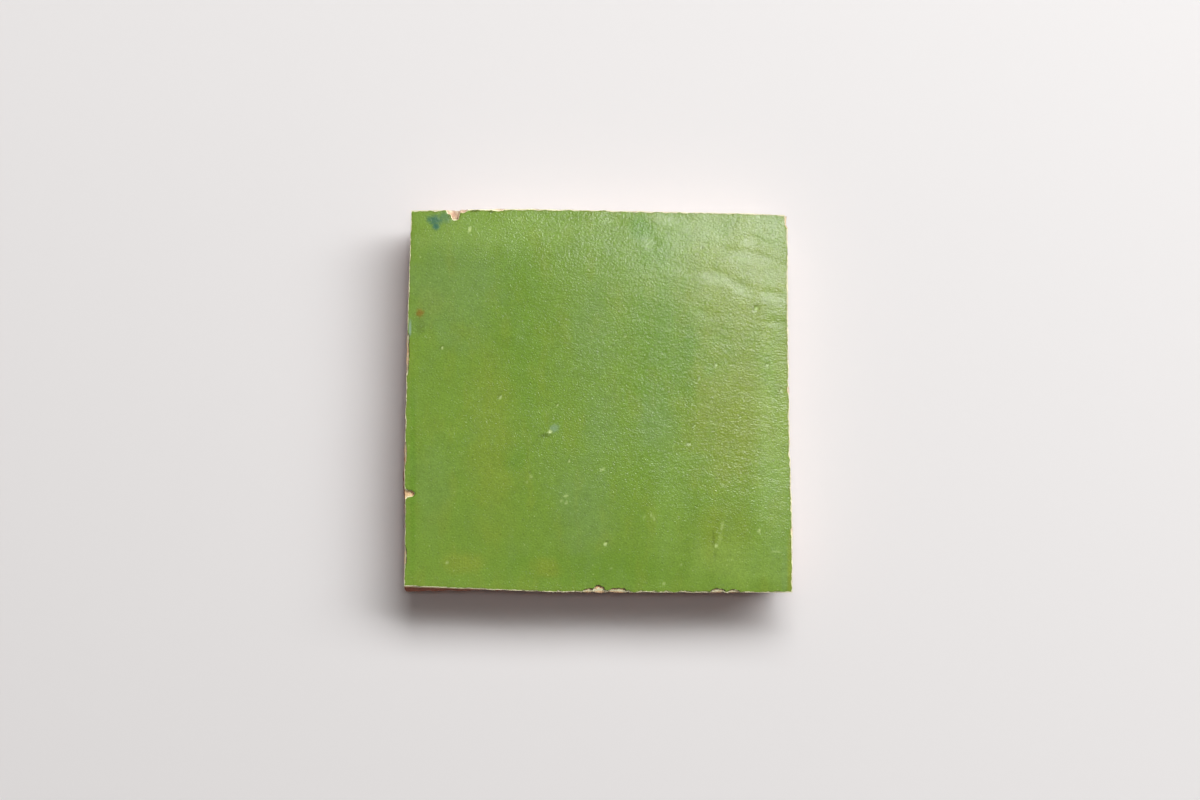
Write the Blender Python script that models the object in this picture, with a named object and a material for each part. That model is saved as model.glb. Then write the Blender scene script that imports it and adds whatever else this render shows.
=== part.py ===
"""Zellige tile: a hand-cut square of fired clay with a green glaze, all one piece.

The slab is flattened by hand, glazed and fired, and only then cut to size, struck from its glazed side
with a sharp hammer. So the face keeps slow waves, its four arrises are runs of short straight strokes,
and below them each side is a row of hollow bites that slope in towards the back. A lip of clay stands
out where a stroke broke away low, and the glaze has flaked off the arris in scallops.

Metres, +Z up. The flat back lies on Z = 0, the glazed face looks up, and the Z axis runs through the
middle of the tile's box. Sides are counted counter-clockwise as seen from above, from the front one.
"""

import math
from dataclasses import dataclass

import bmesh
import bpy
import numpy as np

MM = 0.001

# Plan of the glazed face. The back side is what closes the other three.
THICKNESS = 11.0 * MM
FRONT_LENGTH = 101.7 * MM
LEFT_LENGTH = 98.3 * MM
RIGHT_LENGTH = 98.8 * MM
FRONT_LEFT_ANGLE = math.radians(89.85)
FRONT_RIGHT_ANGLE = math.radians(88.3)
FRONT_TURN = math.radians(-0.96)

# Section of a cut side, by depth below the glazed face
LAND_DEPTH = 1.0 * MM
LIP_DEPTH = 4.2 * MM
LIP_SPREAD = 2.6 * MM
BITE_RAMP = 4.0 * MM
UNDERCUT_POWER = 1.4
BACK_ARRIS = 0.9 * MM
BACK_CRUMBLE = 0.7 * MM

# Strokes of the hammer
BITE_WIDTH = 8.2 * MM
BITE_WIDTH_SPREAD = 0.28
BITE_HOLLOW = 0.75 * MM
BITE_SET_BACK = 0.7 * MM
BITE_LEAN = 0.9 * MM
ARRIS_RIPPLE = 0.09 * MM
ARRIS_RIPPLE_LENGTH = 9.0 * MM
RIPPLE_OVERTONE = 1.9

# Mesh
MIDDLE_SHARE = 0.5
FACE_STEPS = 44
SIDE_STEPS = 7
CHIP_SEGMENTS = 14
CHIP_RINGS = 8

SHARP_ANGLE = math.radians(35)

OBJECT_NAME = "zellige_tile"
NODE_NAME = "tile"
GLAZE_COLOUR = (0.195, 0.320, 0.072, 1.0)
GLAZE_ROUGHNESS = 0.16
CLAY_COLOUR = (0.62, 0.42, 0.32, 1.0)
CLAY_ROUGHNESS = 0.85


@dataclass(frozen=True)
class Lip:
    """Clay that stands out past the arris: furthest at one place, and running out to nothing each way."""

    at: float
    out: float
    run_out: float


@dataclass(frozen=True)
class Side:
    """One cut side. A place along it is a distance from its start corner, or back from its end if negative.

    knees: where the arris bends, as pairs of place along and distance outwards.
    undercut: how far the foot of the side lies inside the arris.
    lips: where clay was left standing.
    seed: picks this side's strokes.
    """

    knees: tuple
    undercut: float
    lips: tuple
    seed: int


SIDES = (
    Side(
        knees=((38.6 * MM, 0.95 * MM), (-22.7 * MM, 0.40 * MM)),
        undercut=2.4 * MM,
        lips=(Lip(at=0.5 * MM, out=1.75 * MM, run_out=38.0 * MM),),
        seed=11,
    ),
    Side(
        knees=((18.8 * MM, 0.20 * MM), (37.5 * MM, -0.20 * MM), (-32.8 * MM, -0.28 * MM)),
        undercut=3.2 * MM,
        lips=(),
        seed=23,
    ),
    Side(
        knees=((9.8 * MM, 0.33 * MM), (39.0 * MM, 0.55 * MM), (-29.3 * MM, 0.82 * MM)),
        undercut=3.4 * MM,
        lips=(),
        seed=37,
    ),
    Side(
        knees=((30.5 * MM, 0.42 * MM), (-29.5 * MM, 0.46 * MM), (-19.3 * MM, 0.05 * MM)),
        undercut=2.2 * MM,
        lips=(Lip(at=-30.0 * MM, out=0.55 * MM, run_out=40.0 * MM),),
        seed=53,
    ),
)
FRONT, RIGHT, BACK, LEFT = range(len(SIDES))


@dataclass(frozen=True)
class Wave:
    """One slow wave of the glazed face: its height, its length, the way it runs and where it starts."""

    height: float
    length: float
    heading: float
    start: float


WAVES = (
    Wave(height=0.14 * MM, length=104.0 * MM, heading=math.radians(52.6), start=4.56),
    Wave(height=0.10 * MM, length=54.0 * MM, heading=math.radians(77.7), start=4.85),
    Wave(height=0.024 * MM, length=34.0 * MM, heading=math.radians(78.4), start=4.17),
    Wave(height=0.010 * MM, length=18.2 * MM, heading=math.radians(147), start=1.17),
)


@dataclass(frozen=True)
class Chip:
    """One scallop off the arris: its side, its middle along that side, and its size.

    along: its middle's place along the side, given as a side's places are.
    into: how far it reaches into the glazed face.
    down: how far it reaches down the side.
    """

    side: int
    along: float
    length: float
    into: float
    down: float


CHIPS = (
    Chip(side=BACK, along=-11.5 * MM, length=2.6 * MM, into=2.9 * MM, down=1.2 * MM),
    Chip(side=BACK, along=-10.0 * MM, length=2.2 * MM, into=1.5 * MM, down=0.9 * MM),
    Chip(side=BACK, along=-13.4 * MM, length=2.6 * MM, into=1.3 * MM, down=0.8 * MM),
    Chip(side=BACK, along=-22.7 * MM, length=3.9 * MM, into=0.8 * MM, down=0.7 * MM),
    Chip(side=FRONT, along=48.5 * MM, length=3.8 * MM, into=1.5 * MM, down=0.7 * MM),
    Chip(side=FRONT, along=51.7 * MM, length=3.2 * MM, into=1.2 * MM, down=0.6 * MM),
    Chip(side=FRONT, along=56.2 * MM, length=5.6 * MM, into=1.0 * MM, down=0.6 * MM),
    Chip(side=FRONT, along=-19.5 * MM, length=3.6 * MM, into=0.9 * MM, down=0.6 * MM),
    Chip(side=FRONT, along=-15.3 * MM, length=2.8 * MM, into=0.7 * MM, down=0.5 * MM),
    Chip(side=LEFT, along=38.0 * MM, length=8.6 * MM, into=0.8 * MM, down=0.6 * MM),
    Chip(side=LEFT, along=-34.5 * MM, length=6.0 * MM, into=0.5 * MM, down=0.5 * MM),
    Chip(side=LEFT, along=-24.2 * MM, length=2.2 * MM, into=2.8 * MM, down=0.8 * MM),
    Chip(side=LEFT, along=-7.7 * MM, length=5.0 * MM, into=0.6 * MM, down=0.5 * MM),
    Chip(side=RIGHT, along=15.9 * MM, length=2.6 * MM, into=0.7 * MM, down=1.0 * MM),
    Chip(side=RIGHT, along=-45.7 * MM, length=2.4 * MM, into=0.7 * MM, down=1.0 * MM),
    Chip(side=RIGHT, along=-1.6 * MM, length=7.0 * MM, into=1.1 * MM, down=2.6 * MM),
)


def corners():
    """The four corners of the face in plan, counter-clockwise from the front left one."""
    front_way = np.array([math.cos(FRONT_TURN), math.sin(FRONT_TURN)])
    left_heading = FRONT_TURN + FRONT_LEFT_ANGLE
    right_heading = FRONT_TURN + math.pi - FRONT_RIGHT_ANGLE
    front_left = -front_way * FRONT_LENGTH / 2
    front_right = front_way * FRONT_LENGTH / 2
    back_left = front_left + LEFT_LENGTH * np.array([math.cos(left_heading), math.sin(left_heading)])
    back_right = front_right + RIGHT_LENGTH * np.array([math.cos(right_heading), math.sin(right_heading)])
    return np.array([front_left, front_right, back_right, back_left])


def chord(side_index):
    """The start corner, the end corner, the length and the outward direction of one side."""
    plan = corners()
    start = plan[side_index]
    end = plan[(side_index + 1) % len(plan)]
    length = np.linalg.norm(end - start)
    way = (end - start) / length
    return start, end, length, np.array([way[1], -way[0]])


def from_start(place, length):
    """A place along a side as the distance from its start corner."""
    return place if place >= 0 else length + place


def stroke_runs(side_index, length):
    """The bounds of a side's hammer strokes, and how far each is set back and leans in."""
    random = np.random.default_rng(SIDES[side_index].seed)
    count = max(1, round(length / BITE_WIDTH))
    widths = random.uniform(1 - BITE_WIDTH_SPREAD, 1 + BITE_WIDTH_SPREAD, count)
    bounds = np.concatenate([[0], np.cumsum(widths)]) * length / widths.sum()
    return bounds, random.uniform(0, BITE_SET_BACK, count), random.uniform(0, BITE_LEAN, count)


def arris_bow(side_index, along, length):
    """How far out of its chord the arris lies: straight runs between the knees, and a fine ripple."""
    side = SIDES[side_index]
    knees = sorted((from_start(place, length), out) for place, out in side.knees)
    places, outs = zip((0.0, 0.0), *knees, (length, 0.0))
    turns = 2 * math.pi * along / ARRIS_RIPPLE_LENGTH + side.seed
    ripple = np.sin(turns) + np.sin(RIPPLE_OVERTONE * turns)
    fade = np.sin(math.pi * along / length)
    return np.interp(along, places, outs) + ARRIS_RIPPLE * fade * ripple


def side_relief(side_index, along, depth, length):
    """How far the side stands out of the arris at a depth: the lip, less the undercut and the bites.

    Where there is a lip, the slope of the undercut starts below it and the bites are shallow.
    """
    side = SIDES[side_index]
    swell = np.exp(-(((depth - LIP_DEPTH) / LIP_SPREAD) ** 2)) * np.clip(depth / LAND_DEPTH, 0, 1)
    standing = np.zeros_like(along + depth)
    out = np.zeros_like(standing)
    for lip in side.lips:
        share = np.clip(1 - np.abs(along - from_start(lip.at, length)) / lip.run_out, 0, 1)
        standing = np.maximum(standing, share)
        out = out + lip.out * share * swell
    slope_top = LAND_DEPTH + (LIP_DEPTH - LAND_DEPTH) * standing
    slope = np.clip((depth - slope_top) / (THICKNESS - slope_top), 0, 1) ** UNDERCUT_POWER

    bounds, set_backs, leans = stroke_runs(side_index, length)
    bite = np.clip(np.searchsorted(bounds, along, side="right") - 1, 0, len(set_backs) - 1)
    across = 2 * (along - bounds[bite]) / (bounds[bite + 1] - bounds[bite]) - 1
    hollow = BITE_HOLLOW * (1 - across**2) + set_backs[bite]
    ramp = np.clip((depth - LAND_DEPTH) / BITE_RAMP, 0, 1) * (1 - standing)
    crumble = BACK_CRUMBLE * np.clip((depth - (THICKNESS - BACK_ARRIS)) / BACK_ARRIS, 0, 1)
    return out - (side.undercut + leans[bite]) * slope - hollow * ramp - crumble


def side_points(side_index, share, depth):
    """Plan points on one side, at these shares of its length and depths below the face.

    The ends of a side meet its neighbours: each corner moves by the relief of both of its sides.
    """
    start, end, length, out = chord(side_index)
    before, after = (side_index - 1) % len(SIDES), (side_index + 1) % len(SIDES)
    length_before, out_before = chord(before)[2:]
    length_after, out_after = chord(after)[2:]

    at_start = side_relief(side_index, 0.0, depth, length)
    at_end = side_relief(side_index, length, depth, length)
    before_end = side_relief(before, length_before, depth, length_before)
    after_start = side_relief(after, 0.0, depth, length_after)

    start_now = start + np.outer(at_start, out) + np.outer(before_end, out_before)
    end_now = end + np.outer(at_end, out) + np.outer(after_start, out_after)
    straight = start_now * (1 - share)[:, None] + end_now * share[:, None]
    relief = side_relief(side_index, share * length, depth, length)
    own = relief - at_start * (1 - share) - at_end * share
    return straight + np.outer(own + arris_bow(side_index, share * length, length), out)


def face_points(across, up):
    """Plan points of the face, from shares across and up it: a patch stretched between the four arrises."""
    no_depth = np.zeros_like(across)
    front = side_points(FRONT, across, no_depth)
    right = side_points(RIGHT, up, no_depth)
    back = side_points(BACK, 1 - across, no_depth)
    left = side_points(LEFT, 1 - up, no_depth)
    across, up = across[:, None], up[:, None]
    front_left, front_right, back_right, back_left = corners()
    between = (1 - up) * front + up * back + (1 - across) * left + across * right
    twice = (1 - up) * ((1 - across) * front_left + across * front_right)
    twice = twice + up * ((1 - across) * back_left + across * back_right)
    return between - twice


def face_height(plan):
    """Height of the glazed face over each plan point: the thickness and the slow waves."""
    height = np.full(len(plan), THICKNESS)
    for wave in WAVES:
        run = plan[:, 0] * math.cos(wave.heading) + plan[:, 1] * math.sin(wave.heading)
        height = height + wave.height * np.sin(2 * math.pi * run / wave.length + wave.start)
    return height


def tile_points(across, up, level):
    """Real places of the block's points: level 0 is the face, and each side step is one level down."""
    points = np.empty((len(across), 3))
    on_face = level == 0
    points[on_face, :2] = face_points(across[on_face], up[on_face])
    points[on_face, 2] = face_height(points[on_face, :2])

    depth = side_depths()[level]
    shares = (across, up, 1 - across, 1 - up)
    edges = (up == 0, across == 1, up == 1, across == 0)
    for side_index, (share, edge) in enumerate(zip(shares, edges)):
        here = edge & ~on_face
        points[here, :2] = side_points(side_index, share[here], depth[here])
        arris = side_points(side_index, share[here], np.zeros(here.sum()))
        points[here, 2] = face_height(arris) * (1 - depth[here] / THICKNESS)
    return points


def side_depths():
    """Depth of each level of a side: the face, the land, then even steps to the back arris and the back."""
    steps = np.linspace(LAND_DEPTH, THICKNESS - BACK_ARRIS, SIDE_STEPS - 1)
    return np.concatenate([[0], steps, [THICKNESS]])


def new_material(name, colour, roughness):
    """A Principled material of one colour."""
    material = bpy.data.materials.new(name)
    material.use_nodes = True
    shader = material.node_tree.nodes["Principled BSDF"]
    shader.inputs["Base Color"].default_value = colour
    shader.inputs["Roughness"].default_value = roughness
    material.diffuse_color = colour
    return material


def block_mesh():
    """The tile's mesh as a unit block: a grid for the face, its rim drawn down in levels, and the back."""
    block = bmesh.new()
    bmesh.ops.create_grid(block, x_segments=FACE_STEPS, y_segments=FACE_STEPS, size=MIDDLE_SHARE)
    rim = [edge for edge in block.edges if edge.is_boundary]
    for _ in range(SIDE_STEPS):
        drawn = bmesh.ops.extrude_edge_only(block, edges=rim)["geom"]
        ring = [item for item in drawn if isinstance(item, bmesh.types.BMVert)]
        bmesh.ops.translate(block, verts=ring, vec=(0, 0, -1))
        rim = [item for item in drawn if isinstance(item, bmesh.types.BMEdge)]
        rim = [edge for edge in rim if edge.is_boundary]
    bmesh.ops.contextual_create(block, geom=rim)
    bmesh.ops.recalc_face_normals(block, faces=block.faces)
    for face in block.faces:
        face.material_index = int(any(vertex.co.z < 0 for vertex in face.verts))
    mesh = bpy.data.meshes.new(NODE_NAME)
    block.to_mesh(mesh)
    block.free()
    return mesh


def shape_tile(mesh):
    """Moves the unit block's points to the tile's, and returns how far the box's middle was moved."""
    unit = np.empty(len(mesh.vertices) * 3)
    mesh.vertices.foreach_get("co", unit)
    unit = unit.reshape(-1, 3)
    level = np.rint(-unit[:, 2]).astype(int)
    across = np.clip(unit[:, 0] + MIDDLE_SHARE, 0, 1)
    up = np.clip(unit[:, 1] + MIDDLE_SHARE, 0, 1)
    points = tile_points(across, up, level)
    middle = (points[:, :2].min(axis=0) + points[:, :2].max(axis=0)) / 2
    points[:, :2] -= middle
    mesh.vertices.foreach_set("co", points.ravel())
    mesh.update()
    return middle


def add_tile(collection, glaze, clay):
    """The tile before its chips, and how far its box's middle was moved."""
    mesh = block_mesh()
    middle = shape_tile(mesh)
    mesh.materials.append(glaze)
    mesh.materials.append(clay)
    mesh.shade_smooth()
    mesh.set_sharp_from_angle(angle=SHARP_ANGLE)
    tile = bpy.data.objects.new(NODE_NAME, mesh)
    collection.objects.link(tile)
    return tile, middle


def add_chip_cutter(collection, chip, number, middle, clay):
    """The scallop that one chip left: a flattened ball with its centre on the arris."""
    _, _, length, out = chord(chip.side)
    share = from_start(chip.along, length) / length
    plan = side_points(chip.side, np.array([share]), np.zeros(1))
    height = face_height(plan)[0]
    place = plan[0] - middle

    ball = bmesh.new()
    bmesh.ops.create_uvsphere(ball, u_segments=CHIP_SEGMENTS, v_segments=CHIP_RINGS, radius=1)
    mesh = bpy.data.meshes.new(f"chip_{number}")
    ball.to_mesh(mesh)
    ball.free()
    mesh.materials.append(clay)

    cutter = bpy.data.objects.new(f"chip_{number}", mesh)
    cutter.location = (place[0], place[1], height)
    cutter.rotation_euler = (0, 0, math.atan2(out[1], out[0]))
    cutter.scale = (chip.into, chip.length / 2, chip.down)
    cutter.hide_render = True
    cutter.display_type = "WIRE"
    collection.objects.link(cutter)
    return cutter


def cut_chip(tile, cutter):
    """Takes one chip off the tile."""
    cut = tile.modifiers.new(cutter.name, "BOOLEAN")
    cut.operation = "DIFFERENCE"
    cut.solver = "EXACT"
    cut.material_mode = "TRANSFER"
    cut.object = cutter


def clear_scene():
    """Removes whatever the scene holds."""
    for thing in list(bpy.data.objects):
        bpy.data.objects.remove(thing, do_unlink=True)


def main():
    """Builds the tile and its chips."""
    clear_scene()
    parts = bpy.data.collections.new(OBJECT_NAME)
    cutters = bpy.data.collections.new("cutters")
    bpy.context.scene.collection.children.link(parts)
    bpy.context.scene.collection.children.link(cutters)
    cutters.hide_render = True

    glaze = new_material("green glaze", GLAZE_COLOUR, GLAZE_ROUGHNESS)
    clay = new_material("fired clay", CLAY_COLOUR, CLAY_ROUGHNESS)
    tile, middle = add_tile(parts, glaze, clay)
    for number, chip in enumerate(CHIPS, start=1):
        cut_chip(tile, add_chip_cutter(cutters, chip, number, middle, clay))


main()
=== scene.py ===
"""The looks of a hand-cut zellige tile: its glaze, its clay, the marks on both, and a plain studio.

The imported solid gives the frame. One detailed piece stands for it, a single closed surface. Its points are
worked out as whole arrays, from the outline and section that the solid has, and it adds the finer relief of
the glaze, of the broken arrises and of the struck clay. +Z is up and out of the glaze, and sides are counted
counter-clockwise from the front one. Lengths are in metres, apart from names that end in mm and from the
tables of places on the tile, which say so.
"""

import itertools
import logging
import math
from dataclasses import dataclass
from enum import Enum, IntEnum

import bpy
import numpy as np
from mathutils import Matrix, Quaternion


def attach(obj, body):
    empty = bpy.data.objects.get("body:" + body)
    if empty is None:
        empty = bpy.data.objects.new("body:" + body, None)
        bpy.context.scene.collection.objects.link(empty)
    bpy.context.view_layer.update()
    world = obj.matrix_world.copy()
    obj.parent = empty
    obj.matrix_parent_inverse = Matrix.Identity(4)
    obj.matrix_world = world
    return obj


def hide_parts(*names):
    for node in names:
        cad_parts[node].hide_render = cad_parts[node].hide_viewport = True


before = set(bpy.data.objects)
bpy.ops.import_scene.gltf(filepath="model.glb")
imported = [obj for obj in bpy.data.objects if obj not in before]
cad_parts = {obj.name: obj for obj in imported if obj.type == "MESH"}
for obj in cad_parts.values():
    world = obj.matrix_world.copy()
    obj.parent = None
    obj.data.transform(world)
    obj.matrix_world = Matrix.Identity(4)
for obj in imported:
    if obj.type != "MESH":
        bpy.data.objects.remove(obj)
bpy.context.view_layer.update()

MM = 0.001
LOG = logging.getLogger("zellige_tile")

NODE = "tile"
BODY = "root"

Array = np.ndarray
Socket = bpy.types.NodeSocket
Triple = tuple[float, float, float]
Colour = Triple


def srgb(*levels: int) -> Colour:
    """A colour as a screen shows it, as linear light.

    Args:
        levels: Its red, green and blue, from 0 to 255.

    Returns:
        The three linear values. With c a level over 255, each is ((c + 0.055) / 1.055) to the power 2.4,
        or c / 12.92 near black.
    """
    shares = (level / 255 for level in levels)
    return tuple(((c + 0.055) / 1.055) ** 2.4 if c > 0.04045 else c / 12.92 for c in shares)


def smooth_step(values: Array, low: float, high: float) -> Array:
    """An S-shaped ramp: 3t^2 - 2t^3, with t the clipped share of the way from low to high."""
    share = np.clip((values - low) / (high - low), 0, 1)
    return share * share * (3 - 2 * share)


def graded_shares(steps: int, shrink: float, reach: float) -> Array:
    """Shares from 0 to 1 whose steps are even, and shrink towards both ends.

    Args:
        steps: How many steps there are.
        shrink: The part of a whole step that the first and last ones lose.
        reach: How many steps in it takes for that loss to fall to about a third.

    Returns:
        The shares. Step i is 1 less shrink times e^(-i / reach), the same is taken off counting from the
        other end, and the running sum is divided by its last value.
    """
    number = np.arange(steps)
    widths = 1 - shrink * (np.exp(-number / reach) + np.exp(-number[::-1] / reach))
    shares = np.concatenate([[0], np.cumsum(widths)])
    return shares / shares[-1]


def in_space(plan_points: Array, height: float | Array) -> Array:
    """Plan points with a height added as their third number."""
    return np.column_stack([plan_points, np.broadcast_to(height, len(plan_points))])


def box_middle(points: Array) -> Array:
    """The middle of the points' box."""
    return (points.min(axis=0) + points.max(axis=0)) / 2


def grid_quads(steps: int) -> Array:
    """The four-sided faces of a square grid.

    Args:
        steps: How many faces lie along each side.

    Returns:
        Point numbers, four a face, counter-clockwise as seen from above.
    """
    column, line = np.meshgrid(np.arange(steps), np.arange(steps))
    corner = (line * (steps + 1) + column).ravel()
    return np.column_stack([corner, corner + 1, corner + steps + 2, corner + steps + 1])


def grid_border(steps: int) -> Array:
    """Numbers of a square grid's border points, counter-clockwise from its front left corner."""
    along, row = np.arange(steps), steps + 1
    return np.concatenate([along, along * row + steps, steps * row + steps - along, (steps - along) * row])


def stretched_patch(lines: list[Array], share: Array, corners: list[Array]) -> Array:
    """A square grid of plan points stretched between four lines.

    Args:
        lines: The points of each line, counter-clockwise from the front one.
        share: The grid lines' shares of the way across, and up too.
        corners: The patch's corners, counter-clockwise from the front left one.

    Returns:
        The points, one a row. Each is its place between front and back, plus its place between left and
        right, less the place that the four corners alone give.
    """
    front, right, back, left = lines[0], lines[1], lines[2][::-1], lines[3][::-1]
    front_left, front_right, back_right, back_left = corners
    u, v = share[None, :, None], share[:, None, None]
    between = (1 - v) * front + v * back + (1 - u) * left[:, None] + u * right[:, None]
    twice = (1 - v) * ((1 - u) * front_left + u * front_right) + v * ((1 - u) * back_left + u * back_right)
    return (between - twice).reshape(-1, 2)


class RandomField:
    """Smooth random relief in space, the same in each run.

    Space is cut into cells, and each cell corner has a random slope. The height at a place is what the
    eight slopes round it give there, weighted by the smooth step 6t^5 - 15t^4 + 10t^3 along each axis.
    """

    TABLE = 256
    FULL_RANGE = 1.6

    def __init__(self, seed: int) -> None:
        """Draws the slopes and shuffles their numbers.

        Args:
            seed: Picks this relief.
        """
        random = np.random.default_rng(seed)
        self.order = random.permutation(self.TABLE)
        slopes = random.normal(size=(self.TABLE, 3))
        self.slopes = slopes / np.linalg.norm(slopes, axis=1, keepdims=True)

    def height(self, places: Array, cell: float | Array) -> Array:
        """The relief at each place.

        Args:
            places: Points in space, one a row.
            cell: The cell's size, or its three sizes.

        Returns:
            Heights, nearly all of them between -1 and 1.
        """
        scaled = places / cell
        first = np.floor(scaled).astype(int)
        inside = scaled - first
        blend = inside**3 * (inside * (6 * inside - 15) + 10)
        total = np.zeros(len(places))
        for corner in itertools.product((0, 1), repeat=3):
            code = 0
            for number in ((first + corner) % self.TABLE).T:
                code = self.order[(code + number) % self.TABLE]
            weight = np.prod(np.where(corner, blend, 1 - blend), axis=1)
            total += weight * np.einsum("ij,ij->i", self.slopes[code], inside - corner)
        return total * self.FULL_RANGE

    def layered(self, places: Array, cell: float | Array, layers: int) -> Array:
        """A sum of reliefs, each half the size and half the height of the one before."""
        return sum(self.height(places, cell / 2**layer) / 2**layer for layer in range(layers))


class Edge(IntEnum):
    """The four cut sides, counter-clockwise as seen from above."""

    FRONT, RIGHT, BACK, LEFT = range(4)


@dataclass(frozen=True)
class Lip:
    """Clay that stands out past the arris, in millimetres: furthest at one place, then running out."""

    at: float
    out: float
    run_out: float


@dataclass(frozen=True)
class CutSide:
    """One cut side's own sizes in millimetres. A place along it that is negative counts from its end.

    Attributes:
        knees: Where the arris bends, as pairs of place along and distance outwards.
        undercut: How far the foot of the side lies inside the arris.
        seed: Picks this side's strokes.
        glaze_edge: How far the broken edge of the glaze stands out of the arris, below it.
        nibble: How deep the arris is nibbled between its chips.
        worn: How wide a line of clay shows on the face along the arris, where the glaze wore off.
        lip: Where clay was left standing.
    """

    knees: tuple[tuple[float, float], ...]
    undercut: float
    seed: int
    glaze_edge: float
    nibble: float
    worn: float
    lip: Lip | None = None


CUT_SIDES = (
    CutSide(knees=((38.6, 0.95), (-22.7, 0.40)), undercut=2.4, seed=11, glaze_edge=0.10, nibble=0.03,
            worn=0.16, lip=Lip(at=0.5, out=1.75, run_out=38.0)),
    CutSide(knees=((18.8, 0.20), (37.5, -0.20), (-32.8, -0.28)), undercut=3.2, seed=23, glaze_edge=0.08,
            nibble=0.04, worn=0.22),
    CutSide(knees=((9.8, 0.33), (39.0, 0.55), (-29.3, 0.82)), undercut=3.4, seed=37, glaze_edge=0.04,
            nibble=0.05, worn=0.22),
    CutSide(knees=((30.5, 0.42), (-29.5, 0.46), (-19.3, 0.05)), undercut=2.2, seed=53, glaze_edge=0.10,
            nibble=0.03, worn=0.14, lip=Lip(at=-30.0, out=0.55, run_out=40.0)),
)


@dataclass(frozen=True)
class TilePlan:
    """The tile's outline and the section of its sides, as the solid has them."""

    thickness: float = 11.0 * MM
    front_length: float = 101.7 * MM
    left_length: float = 98.3 * MM
    right_length: float = 98.8 * MM
    front_left_angle: float = math.radians(89.85)
    front_right_angle: float = math.radians(88.3)
    front_turn: float = math.radians(-0.96)

    land_depth: float = 1.0 * MM
    lip_depth: float = 4.2 * MM
    lip_spread: float = 2.6 * MM
    bite_ramp: float = 4.0 * MM
    undercut_power: float = 1.4
    back_arris: float = 0.9 * MM
    back_crumble: float = 0.7 * MM

    bite_width: float = 8.2 * MM
    bite_width_spread: float = 0.28
    bite_hollow: float = 0.75 * MM
    bite_set_back: float = 0.7 * MM
    bite_lean: float = 0.9 * MM
    ripple: float = 0.05 * MM
    ripple_length: float = 9.0 * MM
    ripple_overtone: float = 1.9

    def corners(self) -> Array:
        """The face's corners in plan.

        Returns:
            Four points, counter-clockwise from the front left one: the front side's ends, and each of them
            moved along the side that leaves it.
        """
        left_turn = self.front_turn + self.front_left_angle
        right_turn = self.front_turn + math.pi - self.front_right_angle
        front, left, right = (np.array([math.cos(turn), math.sin(turn)])
                              for turn in (self.front_turn, left_turn, right_turn))
        half = front * self.front_length / 2
        return np.array([-half, half, half + self.right_length * right, self.left_length * left - half])


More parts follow.
